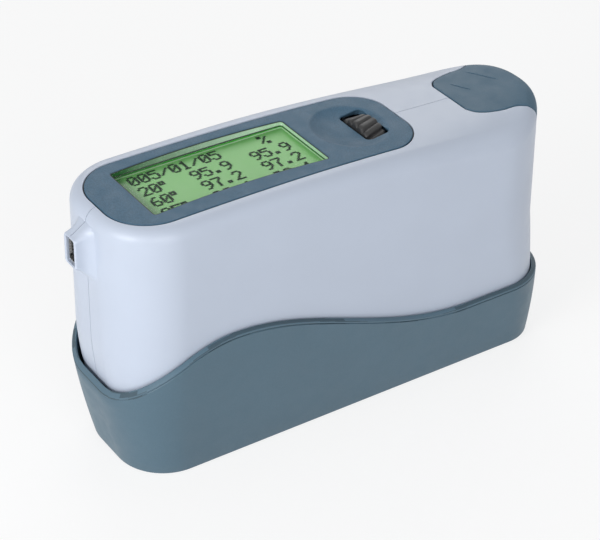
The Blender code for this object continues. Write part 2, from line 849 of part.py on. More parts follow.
def top_panel(finish):
    """The dark inlay: stepped edge, window seat, finger dish and wheel slot."""
    panel = add_object("top_panel", body_solid(HOUSING_BOTTOM, 0.0), finish)
    levels = [
        (panel_half(PANEL_LEDGE + GAP), -PANEL_THICKNESS),
        (panel_half(PANEL_LEDGE + GAP), -PANEL_EDGE),
        (panel_half(GAP), -PANEL_EDGE),
        (panel_half(GAP), OVERRUN),
    ]
    keep(panel, cutter("panel_form", crown_loft(levels)))
    seat = -(WINDOW_SINK + WINDOW_THICKNESS + GAP)
    cut(panel, cutter("window_seat", crown_loft([(window_half(0.0), seat), (window_half(0.0), OVERRUN)])))
    opening = window_half(WINDOW_LEDGE)
    cut(panel, cutter("window_through", crown_loft([(opening, -2 * OVERRUN), (opening, OVERRUN)])))
    cut(panel, cutter("dish_form", dish()))
    slot = rounded_box(WHEEL_X, 0.0, SLOT_WIDTH, SLOT_LENGTH, SLOT_RADIUS)
    cut(panel, cutter("slot_form", upright(slot, CROWN_TOP - 2 * OVERRUN, CROWN_TOP + OVERRUN)))
    return panel


def display_window(finish):
    outline = window_half(GAP)
    levels = [(outline, -WINDOW_SINK - WINDOW_THICKNESS), (outline, -WINDOW_SINK)]
    return add_object("display_window", crown_loft(levels), finish)


def display_top():
    """Top of the display, under the lowest part of the panel round the window."""
    reach = WINDOW_LENGTH / 2 + LCD_MARGIN
    rim = min(crown_height(WINDOW_X - reach, PANEL_HALF), crown_height(WINDOW_X + reach, PANEL_HALF))
    return rim - PANEL_THICKNESS - GAP


def display_board_top():
    return display_top() - LCD_THICKNESS - BACKLIGHT_THICKNESS - 2 * GAP


def display_pieces(glass, light, dark, board):
    """The liquid crystal cell, the backlight, the frame round both and the board under them."""
    length = WINDOW_LENGTH + 2 * LCD_MARGIN
    width = WINDOW_WIDTH + 2 * LCD_MARGIN
    top = display_top()
    cell_form = block((WINDOW_X, 0, top - LCD_THICKNESS / 2), (length, width, LCD_THICKNESS))
    cell = add_object("lcd_cell", cell_form, glass)
    light_middle = top - LCD_THICKNESS - GAP - BACKLIGHT_THICKNESS / 2
    light_form = block((WINDOW_X, 0, light_middle), (length, width, BACKLIGHT_THICKNESS))
    lamp = add_object("backlight", light_form, light)
    board_top = display_board_top()
    low = board_top + GAP
    outer = 2 * (DISPLAY_FRAME_WALL + GAP)
    frame_size = (length + outer, width + outer, top - low)
    frame_form = block((WINDOW_X, 0, (low + top) / 2), frame_size, BLOCK_CORNER)
    frame = add_object("display_frame", frame_form, dark)
    inside = block((WINDOW_X, 0, top), (length + 2 * GAP, width + 2 * GAP, 2 * (top - low + OVERRUN)))
    cut(frame, cutter("frame_inside", inside))
    places = pillar_places()
    board_length = places[-1][0] - places[0][0] + 2 * PILLAR_RADIUS + 2 * DISPLAY_BOARD_MARGIN
    board_middle = board_top - DISPLAY_BOARD_THICKNESS / 2
    board_size = (board_length, width, DISPLAY_BOARD_THICKNESS)
    plate = add_object("display_board", block((WINDOW_X, 0, board_middle), board_size, BLOCK_CORNER), board)
    holes = [placed(screw_hole(board_top - OVERRUN, board_top + OVERRUN), (x, y, 0)) for x, y in places]
    cut(plate, cutter("display_board_holes", gathered(holes)))
    return [cell, lamp, frame, plate]


def pillar_places():
    """Places in XY of the chassis pillars under the display board's corners."""
    reach_x = WINDOW_LENGTH / 2 + LCD_MARGIN + DISPLAY_FRAME_WALL + SCREW_HEAD + 3 * GAP
    reach_y = WINDOW_WIDTH / 2
    return [(WINDOW_X + sx * reach_x, sy * reach_y) for sx in (-1, 1) for sy in (-1, 1)]


# Jog wheel


def wheel_axis():
    """Height of the wheel's axis, from how far the wheel rises over the top panel."""
    return crown_height(WHEEL_X) + WHEEL_RISE - WHEEL_RADIUS


def fork_bottom():
    return wheel_axis() - WHEEL_RADIUS - GAP - FORK_BASE


def jog_wheel(finish):
    """A ribbed roller on its axle, made of one ring of alternating radii."""
    count = 2 * WHEEL_RIBS
    outline = []
    for i in range(count):
        a = 2 * math.pi * (i + 0.5) / count
        radius = WHEEL_RADIUS - (WHEEL_RIB_DEPTH if i // 2 * 2 != i else 0.0)
        outline.append((radius * math.cos(a), radius * math.sin(a)))
    half = WHEEL_WIDTH / 2
    shrink = 1 - WHEEL_EDGE / WHEEL_RADIUS
    sections = []
    for x, scale in ((-half, shrink), (WHEEL_EDGE - half, 1.0), (half - WHEEL_EDGE, 1.0), (half, shrink)):
        sections.append([Vector((WHEEL_X + x, scale * y, wheel_axis() + scale * z)) for y, z in outline])
    wheel = add_object("jog_wheel", ring_solid(sections), finish)
    return cut(wheel, axle_bore("wheel_bore"))


def axle_bore(name):
    """A cutter along the wheel's axis."""
    bore = peg(AXLE_RADIUS + GAP, -WHEEL_WIDTH, 2 * WHEEL_WIDTH, AXLE_SIDES)
    return cutter(name, placed(bore, (WHEEL_X, 0, wheel_axis()), (1, 0, 0)))


def wheel_axle(finish):
    ear_out = WHEEL_WIDTH / 2 + EAR_PLAY + EAR_THICKNESS
    profile = [
        (AXLE_HEAD, -ear_out - GAP - AXLE_RADIUS),
        (AXLE_HEAD, -ear_out - GAP),
        (AXLE_RADIUS, -ear_out - GAP),
        (AXLE_RADIUS, ear_out + ENCODER_THICKNESS),
    ]
    axle = placed(turned(profile, AXLE_SIDES), (WHEEL_X, 0, wheel_axis()), (1, 0, 0))
    return add_object("wheel_axle", axle, finish)


def wheel_fork(finish):
    """The bracket that carries the wheel: two ears on a base with a hole at each end for its guide pins."""
    inner = WHEEL_WIDTH / 2 + EAR_PLAY
    outer = inner + EAR_THICKNESS
    low = fork_bottom()
    floor = low + FORK_BASE
    high = wheel_axis() + EAR_RISE
    left_ear = [(-inner, floor), (-inner, high), (-outer, high), (-outer, low)]
    right_ear = [(outer, low), (outer, high), (inner, high), (inner, floor)]
    profile = [(WHEEL_X + x, z) for x, z in left_ear + right_ear]
    fork = add_object("wheel_fork", along_y(profile, -FORK_HALF_WIDTH, FORK_HALF_WIDTH), finish)
    wing_length = 2 * (fork_pin_reach() + FORK_PIN_RADIUS + FORK_MARGIN)
    wings = block((WHEEL_X, 0, low + FORK_BASE / 2), (2 * outer, wing_length, FORK_BASE), FORK_CORNER, 4)
    join(fork, cutter("fork_wings", wings))
    cut(fork, axle_bore("fork_bore"))
    pin_hole = (FORK_PIN_RADIUS + GAP, low - OVERRUN, low + OVERRUN)
    holes = [placed(peg(*pin_hole), (WHEEL_X, side * fork_pin_reach(), 0)) for side in (-1, 1)]
    return cut(fork, cutter("fork_pin_holes", gathered(holes)))


def fork_pin_reach():
    """Distance of each guide pin from the middle, clear of the wheel."""
    return WHEEL_RADIUS + FORK_PIN_RADIUS + 2 * GAP


def encoder(finish):
    """The sensor that reads the wheel's turns, a flat square body on the fork's right ear."""
    low = WHEEL_X + WHEEL_WIDTH / 2 + EAR_PLAY + EAR_THICKNESS + GAP
    outline = rounded_box(0.0, wheel_axis(), ENCODER_SIZE, ENCODER_SIZE, BLOCK_CORNER, 2)
    body = ring_solid([[Vector((x, y, z)) for y, z in outline] for x in (low, low + ENCODER_THICKNESS)])
    return cut(add_object("wheel_encoder", body, finish), axle_bore("encoder_bore"))


def key_switch(name, place, rise, finish):
    """A small key switch: a square case with a round plunger, standing at one place."""
    x, y, z = place
    case = block((x, y, z + SWITCH_CASE * rise / 2), (SWITCH_SIZE, SWITCH_SIZE, SWITCH_CASE * rise), ROOT)
    plunger = placed(peg(PLUNGER_RADIUS, rise / 2, rise), place)
    return join(add_object(name, case, finish), cutter(f"{name}_plunger", plunger))


def click_switch_height():
    """Room between the wheel board and the fork, less the fork's travel."""
    return fork_bottom() - WHEEL_PRESS - GAP - wheel_board_top() - GAP


def click_switch_place():
    return WHEEL_X, 0, wheel_board_top() + GAP


def wheel_board_top():
    return chassis_top() + GAP + WHEEL_BOARD_THICKNESS


def wheel_board(finish):
    width = 2 * (fork_pin_reach() - FORK_PIN_RADIUS - 2 * GAP)
    middle = wheel_board_top() - WHEEL_BOARD_THICKNESS / 2
    size = (WHEEL_BOARD_LENGTH, width, WHEEL_BOARD_THICKNESS)
    return add_object("wheel_board", block((WHEEL_X, 0, middle), size, BLOCK_CORNER), finish)


# Chassis


def chassis_top():
    return chassis_bottom() + CHASSIS_THICKNESS


def chassis(finish):
    """The inner plate that carries the display, the wheel and the socket board, held between the walls."""
    low = chassis_bottom()
    room = HOUSING_WALL + BRACKET_ROOM
    left = form_limits(low)[0] + room
    right = post_places()[2][0] + POST_RADIUS
    half = form_limits(low)[2] - room
    turn = corner_radii(low, half)[0] - room
    outline = near_half((left, right), (half, half), (turn, BRACKET_CORNER), 5, 3)
    plate = add_object("chassis", flat_loft([(outline, low), (outline, chassis_top())]), finish)
    board_low = display_board_top() - DISPLAY_BOARD_THICKNESS - GAP
    root = chassis_top() - ROOT
    pillars = [placed(peg(PILLAR_RADIUS, root, board_low), (x, y, 0)) for x, y in pillar_places()]
    pin_top = fork_bottom() + FORK_BASE + FORK_PIN_RISE
    for side in (-1, 1):
        pillars.append(placed(peg(FORK_PIN_RADIUS, root, pin_top), (WHEEL_X, side * fork_pin_reach(), 0)))
    join(plate, cutter("chassis_pillars", gathered(pillars)))
    windows = [block((x, 0, low), CHASSIS_WINDOW, FORK_CORNER, 3) for x in CHASSIS_WINDOWS_X]
    cut(plate, cutter("chassis_windows", gathered(windows)))
    deep = board_low - DISPLAY_SCREW_LENGTH - GAP
    holes = [placed(screw_hole(deep, board_low + OVERRUN), (*place, 0)) for place in pillar_places()]
    return cut(plate, cutter("pillar_holes", gathered(holes)))


def display_screws(finish):
    top = display_board_top() + GAP
    places = pillar_places()
    screws = [placed(screw(DISPLAY_SCREW_LENGTH), (x, y, top)) for x, y in (places[0], places[-1])]
    return add_each("display_screw", screws, finish)


# Operate button


def button_slab(inset, low):
    half = button_half(inset)
    return flat_loft([(half, low), (half, CROWN_TOP + OVERRUN)])


def stem_x():
    """Place of the button's stem, its spring and the switch under it."""
    return BUTTON_LEFT + STEM_INWARD


def engraved_line(ends):
    """A thin bar that follows the crowned top between two places, measured from the button's left edge."""
    first, last = (Vector((BUTTON_LEFT + x, y)) for x, y in ends)
    across = (last - first).orthogonal().normalized() * LINE_WIDTH / 2
    sections = []
    for i in range(LINE_STEPS + 1):
        spot = first.lerp(last, i / LINE_STEPS)
        z = crown_height(*spot)
        a, b = spot - across, spot + across
        low, high = z - LINE_DEPTH, z + LINE_DEPTH
        sections.append([Vector((*a, low)), Vector((*b, low)), Vector((*b, high)), Vector((*a, high))])
    return ring_solid(sections)


def operate_button(finish):
    """The cap over the right end of the top, a shell that carries on the housing's rounded form."""
    button = add_object("operate_button", body_solid(HOUSING_BOTTOM, 0.0), finish)
    keep(button, cutter("button_form", button_slab(GAP, BUTTON_LOW)))
    inside = cutter("button_cavity", body_solid(HOUSING_BOTTOM, BUTTON_SKIN, 2, 3))
    keep(inside, cutter("button_inside", button_slab(GAP + BUTTON_SKIN, HOUSING_BOTTOM)))
    cut(button, inside)
    x = stem_x()
    stem = peg(BUTTON_STEM_RADIUS, stem_bottom(), crown_height(x) - BUTTON_SKIN / 2, AXLE_SIDES)
    join(button, cutter("button_stem", placed(stem, (x, 0, 0))))
    return cut(button, cutter("button_lines", gathered([engraved_line(ends) for ends in LINES])))


def guide_top():
    return tube_top() + GAP + GUIDE_THICKNESS


def measure_switch_top():
    return guide_top() + GAP + SWITCH_HEIGHT


def stem_bottom():
    return measure_switch_top() + BUTTON_TRAVEL + STEM_PLAY


def spring_top():
    """Underside of the button's skin over the spring."""
    x = stem_x()
    return crown_height(x) - BUTTON_SKIN - GAP


def button_guide(finish):
    """The plate under the button that carries its switch and spring, between the walls over the battery."""
    low = tube_top() + GAP
    high = guide_top()
    room = HOUSING_WALL + BRACKET_ROOM
    left = post_places()[2][0]
    right = form_limits(high)[1] - room - GUIDE_ROOM
    half = form_limits(high)[2] - room - GUIDE_ROOM
    turn = corner_radii(high, half)[1] - room
    outline = near_half((left, right), (half, half), (BRACKET_CORNER, turn), 5, 3)
    plate = add_object("button_guide", flat_loft([(outline, low), (outline, high)]), finish)
    inner = SPRING_RADIUS + SPRING_WIRE + GAP
    ring = tube(inner + SPRING_RING_WALL, inner, high - ROOT, high + SPRING_RING_RISE)
    return join(plate, cutter("spring_ring", placed(ring, (stem_x(), 0, 0))))


def return_spring(finish):
    """The coil round the stem and the switch that lifts the button back."""
    spring = coil(SPRING_RADIUS, SPRING_WIRE, guide_top() + GAP, spring_top(), SPRING_TURNS)
    return add_object("return_spring", placed(spring, (stem_x(), 0, 0)), finish)


# Data socket


def data_socket(metal, board):
    """The metal shell of the data socket with its tongue, on an upright board of its own."""
    z = socket_centre()
    face = COLLAR_FACE + SOCKET_SINK
    back = face + SOCKET_DEPTH
    outline = rounded_box(0.0, z, SOCKET_WIDTH, SOCKET_HEIGHT, SOCKET_CORNER, 2)
    tube_form = ring_solid([[Vector((x, y, h)) for y, h in outline] for x in (face, back)])
    shell = add_object("data_socket", tube_form, metal)
    wall = 2 * SOCKET_WALL
    mouth = rounded_box(0.0, z, SOCKET_WIDTH - wall, SOCKET_HEIGHT - wall, SOCKET_CORNER - SOCKET_WALL / 2, 2)
    inside = ring_solid([[Vector((x, y, h)) for y, h in mouth] for x in (face - OVERRUN, back - SOCKET_BACK)])
    cut(shell, cutter("socket_mouth", inside))
    tongue_ends = (face + TONGUE_SINK, back - SOCKET_BACK / 2)
    length = tongue_ends[1] - tongue_ends[0]
    size = (length, TONGUE_THICKNESS, SOCKET_HEIGHT - 3 * wall)
    tongue = block((sum(tongue_ends) / 2, 0, z), size)
    join(shell, cutter("socket_tongue", tongue))
    left = form_limits(chassis_top())[0] + HOUSING_WALL + BRACKET_ROOM
    low = chassis_top() + GAP
    y = SOCKET_WIDTH / 2 + GAP + SOCKET_BOARD_THICKNESS / 2
    top = display_board_top() - DISPLAY_BOARD_THICKNESS - GAP
    middle = (left + SOCKET_BOARD_LENGTH / 2, y, (low + top) / 2)
    plate = block(middle, (SOCKET_BOARD_LENGTH, SOCKET_BOARD_THICKNESS, top - low))
    return [shell, add_object("socket_board", plate, board)]


# Optics


def direction(rise, side):
    """Unit direction in the XZ plane at a rise over the horizontal, to the right or left."""
    a = math.radians(rise)
    return Vector((side * math.cos(a), 0.0, math.sin(a)))


def channels():
    """Start, direction and length of each light path, for both sides."""
    middle = Vector((0, 0, METER_BOTTOM))
    found = []
    for side in (-1, 1):
        found.append(("20", side, middle, direction(70.0, side), REACH_20))
        found.append(("60", side, middle, direction(30.0, side), REACH_60))
        fold = Vector((side * FOLD_X, 0, METER_BOTTOM + FOLD_Z))
        found.append(("85", side, fold, direction(FOLD_RISE, side), REACH_85))
    return found


def crossing(a, b):
    """Point in XZ where two lines meet, each given by a point and its normal."""
    (pa, na), (pb, nb) = a, b
    det = na.x * nb.z - na.z * nb.x
    ca = pa.dot(na)
    cb = pb.dot(nb)
    return ((ca * nb.z - cb * na.z) / det, (na.x * cb - nb.x * ca) / det)


def optics_profile():
    """The outline of a fan in XZ: a facet square to each light path and a step between the two flattest."""
    facets = {name: (start + way * reach, way) for name, side, start, way, reach in channels() if side > 0}
    low_spot, low_way = facets["85"]
    high_spot, high_way = facets["60"]
    between = (low_way + high_way).normalized()
    floor = (Vector((0, 0, HOUSING_BOTTOM)), Vector((0, 0, 1)))
    edge = (low_spot + Vector((FACET_DROP, 0, 0)), Vector((1, 0, 0)))
    step = ((low_spot + high_spot) / 2, Vector((-between.z, 0, between.x)))
    crest = (facets["20"][0] + Vector((0, 0, CREST_RISE)), Vector((0, 0, 1)))
    lines = [floor, edge, facets["85"], step, facets["60"], facets["20"], crest]
    right = [crossing(a, b) for a, b in zip(lines, lines[1:])]
    return right + [(-x, z) for x, z in reversed(right)]


def optics_block(finish):
    """The black fan-shaped block, bored along each light path and open over the aperture."""
    thick = OPTICS_HALF_THICKNESS
    fan = add_object("optics_block", along_y(optics_profile(), -thick, thick), finish)
    depth = BOARD_SCREW_LENGTH + GAP
    holes = [placed(screw_hole(-depth, OVERRUN), (x, thick, z), (0, 1, 0)) for x, z in board_screw_places()]
    cut(fan, cutter("optics_board_holes", gathered(holes)))
    for name, side, start, way, reach in channels():
        label = f"{name}_{'left' if side < 0 else 'right'}"
        narrow = placed(peg(CHANNEL_RADIUS, 0.0, reach + OVERRUN, AXLE_SIDES), start, way)
        seat = placed(peg(SEAT_RADIUS, reach - SEAT_DEPTH, reach + OVERRUN, ROUND_SIDES), start, way)
        cut(fan, cutter(f"channel_{label}", narrow), cutter(f"seat_{label}", seat))
    size = (APERTURE_LENGTH + CHAMBER_MARGIN, APERTURE_WIDTH + CHAMBER_MARGIN / 3, 2 * CHAMBER_HEIGHT)
    return cut(fan, cutter("optics_chamber", block((0, 0, HOUSING_BOTTOM), size, FORK_CORNER, 3)))


def lamp_module(name, start, way, reach, finish):
    """A turned holder plugged into its seat: nose, flange and rear cap."""
    nose = SEAT_RADIUS - GAP
    shoulder = reach + FLANGE_THICKNESS
    profile = [
        (nose, reach - SEAT_DEPTH + LENS_THICKNESS + 2 * GAP),
        (nose, reach + GAP),
        (MODULE_FLANGE, reach + GAP),
        (MODULE_FLANGE, shoulder),
        (0.7 * MODULE_FLANGE, shoulder),
        (0.6 * MODULE_FLANGE, shoulder + MODULE_CAP),
    ]
    return add_object(name, placed(turned(profile, HEAD_SIDES), start, way), finish)


def lens(start, way, reach):
    """A lens with one flat and one domed face, at the bottom of its seat."""
    low = reach - SEAT_DEPTH + GAP
    radius = SEAT_RADIUS - GAP
    dome = ((1.0, 0.0), (1.0, 0.5), (0.6, 1.0))
    profile = [(radius * across, low + LENS_THICKNESS * rise) for across, rise in dome]
    return placed(turned(profile, HEAD_SIDES), start, way)


def optics(lamp, sensor, glass, mirror):
    """Lamps on the left, sensors on the right, a lens in front of each, and the two fold mirrors."""
    made = []
    for name, side, start, way, reach in channels():
        kind, finish = ("lamp", lamp) if side < 0 else ("sensor", sensor)
        made.append(lamp_module(f"{kind}_{name}", start, way, reach, finish))
        made.append(add_object(f"{kind}_lens_{name}", lens(start, way, reach), glass))
    return made + fold_mirrors(mirror)


def fold_mirrors(finish):
    """Two small mirrors on the base plate's ends of the aperture that lift the flattest light path."""
    mirrors = []
    near = APERTURE_LENGTH / 2 + GAP
    far = near + MIRROR_LENGTH
    low = HOUSING_BOTTOM
    for side in (-1, 1):
        profile = [(near, low), (far, low), (far, low + MIRROR_HIGH), (near, low + MIRROR_LOW)]
        mirrors.append(along_y([(side * x, z) for x, z in profile], -MIRROR_HALF, MIRROR_HALF))
    return add_each("fold_mirror", mirrors, finish)


def board_screw_places():
    """Places in XZ of the screws that hold the main board on the optics block."""
    low_x, low_rise = LOW_BOARD_SCREW
    return [(0.0, METER_BOTTOM + REACH_20 - 0.006), (low_x, METER_BOTTOM + low_rise)]


def main_board(finish):
    """The main board on the back of the optics block, with its soldered parts on the far side."""
    near = OPTICS_HALF_THICKNESS + GAP
    far = near + BOARD_THICKNESS
    left = POST_LEFT_X + POST_RADIUS + BOARD_MARGIN
    right = post_places()[2][0] - POST_RADIUS - BOARD_MARGIN
    low = HOUSING_BOTTOM + BOARD_MARGIN
    high = chassis_bottom() - BOARD_MARGIN
    shoulder = high - BOARD_NOTCH
    profile = [(left, low), (right, low), (right, shoulder), (right - BOARD_NOTCH, high)]
    profile += [(left + BOARD_NOTCH, high), (left, shoulder)]
    board = add_object("main_board", along_y(profile, near, far), finish)
    holes = [placed(screw_hole(0.0, far + OVERRUN), (x, 0, z), (0, 1, 0)) for x, z in board_screw_places()]
    cut(board, cutter("main_board_holes", gathered(holes)))
    chips = []
    for x, rise, length, height, thick in BOARD_CHIPS:
        chips.append(block((x, far + thick / 2 - ROOT, METER_BOTTOM + rise), (length, thick, height)))
    return join(board, cutter("board_chips", gathered(chips)))


def board_screws(finish):
    face = OPTICS_HALF_THICKNESS + 2 * GAP + BOARD_THICKNESS
    screws = [placed(screw(BOARD_SCREW_LENGTH), (x, face, z), (0, 1, 0)) for x, z in board_screw_places()]
    return add_each("board_screw", screws, finish)


# Battery


def battery_bottom():
    return METER_BOTTOM + COVER_THICKNESS + GAP + CONTACT_HEIGHT + GAP


def battery_top():
    return battery_bottom() + BATTERY_LENGTH + BATTERY_NUB


def tube_top():
    return battery_top() + 2 * GAP + CONTACT_THICKNESS + TUBE_WALL


def over_battery(bm):
    return placed(bm, (BATTERY_X, 0, 0))


def battery_pieces(plastic, wrap, metal):
    """The cell in its tube, with a plate contact above and a coil contact below."""
    room = BATTERY_RADIUS + TUBE_ROOM
    outer = peg(room + TUBE_WALL, HOUSING_BOTTOM, tube_top(), ROUND_SIDES)
    inner = peg(room, HOUSING_BOTTOM - OVERRUN, tube_top() - TUBE_WALL, ROUND_SIDES)
    sleeve = add_object("battery_tube", over_battery(outer), plastic)
    cut(sleeve, cutter("tube_inside", over_battery(inner)))
    base = battery_bottom()
    shoulder = base + BATTERY_LENGTH
    profile = [
        (BATTERY_RADIUS - CELL_EDGE, base),
        (BATTERY_RADIUS, base + CELL_EDGE),
        (BATTERY_RADIUS, shoulder - CELL_EDGE),
        (BATTERY_RADIUS - CELL_EDGE, shoulder),
        (BATTERY_NUB_RADIUS, shoulder),
        (BATTERY_NUB_RADIUS, battery_top()),
    ]
    cell = add_object("battery_cell", over_battery(turned(profile)), wrap)
    plate_low = battery_top() + GAP
    plate = peg(CONTACT_RADIUS, plate_low, plate_low + CONTACT_THICKNESS, AXLE_SIDES)
    spring_low = METER_BOTTOM + COVER_THICKNESS + GAP
    spring = coil(CONTACT_COIL_RADIUS, SPRING_WIRE, spring_low, spring_low + CONTACT_HEIGHT, CONTACT_TURNS)
    return [
        sleeve,
        cell,
        add_object("contact_plate", over_battery(plate), metal),
        add_object("contact_spring", over_battery(spring), metal),
    ]


def cover_radius():
    return BATTERY_RADIUS + TUBE_ROOM + TUBE_WALL / 2


def battery_cover(finish):
    """The round cover in the base plate, with a coin slot across it."""
    disc = peg(cover_radius(), METER_BOTTOM, METER_BOTTOM + COVER_THICKNESS, ROUND_SIDES)
    cover = add_object("battery_cover", over_battery(disc), finish)
    slot = block((BATTERY_X, 0, METER_BOTTOM), COIN_SLOT, COIN_SLOT[0] / 2, 3)
    return cut(cover, cutter("coin_slot", slot))


# Base plate


def base_plate(finish):
    """The flat underside, with the measuring aperture, the battery hole and its screws' countersinks."""
    top = METER_BOTTOM + BASE_THICKNESS
    rings = [form_ring(METER_BOTTOM, -BASE_CHAMFER), form_ring(METER_BOTTOM + BASE_CHAMFER), form_ring(top)]
    plate = add_object("base_plate", loft(rings), finish)
    size = (APERTURE_LENGTH, APERTURE_WIDTH, 2 * (BASE_THICKNESS + OVERRUN))
    aperture = block((0, 0, METER_BOTTOM), size, APERTURE_CORNER, 4)
    low = METER_BOTTOM - OVERRUN
    battery = over_battery(peg(cover_radius() + GAP, low, top + OVERRUN, ROUND_SIDES))
    cut(plate, cutter("aperture", aperture), cutter("battery_hole", battery))
    holes = gathered([placed(screw_hole(low, top + OVERRUN), (*place, 0)) for place in base_boss_places()])
    seat = base_screw_seat() + GAP
    heads = gathered([placed(head_hole(low, seat), (*place, 0)) for place in base_boss_places()])
    return cut(plate, cutter("base_screw_holes", holes), cutter("base_screw_heads", heads))


def base_screw_seat():
    """Height of the underside of the base screws' heads' seat."""
    return METER_BOTTOM + SCREW_HEAD_HEIGHT + GAP


def base_screws(finish):
    places = [(x, y, base_screw_seat()) for x, y in base_boss_places()]
    screws = [placed(screw(BASE_SCREW_LENGTH), place, (0, 0, -1)) for place in places]
    return add_each("base_screw", screws, finish)


# Holder


def rim_height(x):
    """Height of the wavy rim: a crest left of the middle, a long fall to the right and a short one left."""
    if x > RIM_CREST_X:
        fall = min(1.0, (x - RIM_CREST_X) / RIM_FALL_LENGTH)
        return RIM_LOW + (RIM_CREST - RIM_LOW) * (1 + math.cos(math.pi * fall)) / 2
    fall = (RIM_CREST_X - x) / (RIM_CREST_X + LEFT_REACH)
    ease = (1 - math.cos(math.pi * RIM_LEFT_EASE * fall)) / (1 - math.cos(math.pi * RIM_LEFT_EASE))
    return RIM_CREST - (RIM_CREST - RIM_LEFT) * ease


def below_rim(drop):
    return lambda spot: rim_height(spot.x) - drop


def up_to_rim(low, share, drop):
    return lambda spot: low + (rim_height(spot.x) - drop - low) * share


def holder_ring(height, grow):
    return form_ring(height, grow, HOLDER_LEFT_PLAY, RIM_STEPS)


def holder_shell(finish):
    """The tub: drafted walls, a groove under the bead of the rim, a sloping rim top and a flat floor."""
    outer = HOLDER_FIT + HOLDER_WALL
    groove = RIM_GROOVE
    lip = RIM_LIP
    slope = 0.3 * HOLDER_EDGE_RADIUS
    rings = [
        holder_ring(0.0, outer - HOLDER_EDGE_RADIUS),
        holder_ring(slope, outer - slope),
        holder_ring(HOLDER_EDGE_RADIUS, outer),
        holder_ring(up_to_rim(HOLDER_EDGE_RADIUS, 0.35, RIM_BAND), outer),
        holder_ring(up_to_rim(HOLDER_EDGE_RADIUS, 0.7, RIM_BAND), outer),
        holder_ring(below_rim(RIM_BAND + groove), outer),
        holder_ring(below_rim(RIM_BAND), outer - groove),
        holder_ring(below_rim(RIM_BAND - groove), outer),
        holder_ring(below_rim(RIM_SLOPE + 0.5 * lip), outer),
        holder_ring(below_rim(RIM_SLOPE), outer - 0.5 * lip),
        holder_ring(below_rim(0.0), HOLDER_FIT + 0.5 * lip),
        holder_ring(below_rim(lip), HOLDER_FIT),
        holder_ring(up_to_rim(HOLDER_FLOOR, 0.5, lip), HOLDER_FIT),
        holder_ring(HOLDER_FLOOR, HOLDER_FIT),
    ]
    return add_object("holder_shell", loft(rings), finish)


def cradle_top():
    return METER_BOTTOM - GAP


def cradle_screw_places():
    reach_x = CRADLE_LENGTH / 2 - CRADLE_WALL - SCREW_HEAD - GAP
    return [(-reach_x, 0.0), (reach_x, 0.0)]


def tile_cradle(finish):
    """The moulded block on the holder's floor: a pocket for the tile, hollow below, a post at each corner."""
    low = HOLDER_FLOOR + GAP
    high = cradle_top()
    outline = rounded_box(0, 0, CRADLE_LENGTH, CRADLE_WIDTH, CRADLE_CORNER)
    cradle = add_object("tile_cradle", upright(outline, low, high), finish)
    pocket_low = tile_top() - TILE_THICKNESS - GAP
    pocket_size = (TILE_LENGTH + 2 * GAP, TILE_WIDTH + 2 * GAP, 2 * (high - pocket_low))
    cut(cradle, cutter("tile_pocket", block((0, 0, high), pocket_size, BLOCK_CORNER)))
    hollow_top = high - CRADLE_WALL
    side_length = (CRADLE_LENGTH - TILE_LENGTH) / 2 - 2 * CRADLE_WALL - GAP
    side_x = TILE_LENGTH / 2 + GAP + CRADLE_WALL + side_length / 2
    inner_width = CRADLE_WIDTH - 2 * CRADLE_WALL
    side_size = (side_length, inner_width / 4, 2 * (hollow_top - low))
    reach_y = (SCREW_HEAD + CRADLE_WALL + inner_width / 2) / 2
    corners = [(sx * side_x, sy * reach_y, low) for sx in (-1, 1) for sy in (-1, 1)]
    hollows = [block(corner, side_size, BLOCK_CORNER) for corner in corners]
    under_size = (TILE_LENGTH, inner_width, 2 * (pocket_low - CRADLE_WALL - low))
    under = block((0, 0, low), under_size, BLOCK_CORNER)
    cut(cradle, cutter("cradle_hollows", gathered(hollows)), cutter("cradle_under", under))
    holes = []
    heads = []
    for x, y in cradle_screw_places():
        holes.append(placed(screw_hole(low - OVERRUN, high), (x, y, 0)))
        heads.append(placed(head_hole(cradle_screw_seat() - GAP, high + OVERRUN), (x, y, 0)))
    return cut(cradle, cutter("cradle_holes", gathered(holes)), cutter("cradle_heads", gathered(heads)))


def cradle_screw_seat():
    return cradle_top() - SCREW_HEAD_HEIGHT - HEAD_SINK


def cradle_screws(finish):
    length = cradle_screw_seat() - HOLDER_FLOOR - GAP
    screws = [placed(screw(length), (x, y, cradle_screw_seat())) for x, y in cradle_screw_places()]
    return add_each("cradle_screw", screws, finish)


def tile_top():
    return METER_BOTTOM - TILE_AIR


def calibration_tile(finish):
    """The polished black glass that the meter is set against."""
    outline = rounded_box(0, 0, TILE_LENGTH, TILE_WIDTH, BLOCK_CORNER, 2)
    edge = 2 * TILE_EDGE
    slim = rounded_box(0, 0, TILE_LENGTH - edge, TILE_WIDTH - edge, BLOCK_CORNER - TILE_EDGE, 2)
    top = tile_top()
    sections = [
        [Vector((x, y, top - TILE_THICKNESS)) for x, y in outline],
        [Vector((x, y, top - TILE_EDGE)) for x, y in outline],
        [Vector((x, y, top)) for x, y in slim],
    ]
    return add_object("calibration_tile", ring_solid(sections), finish)


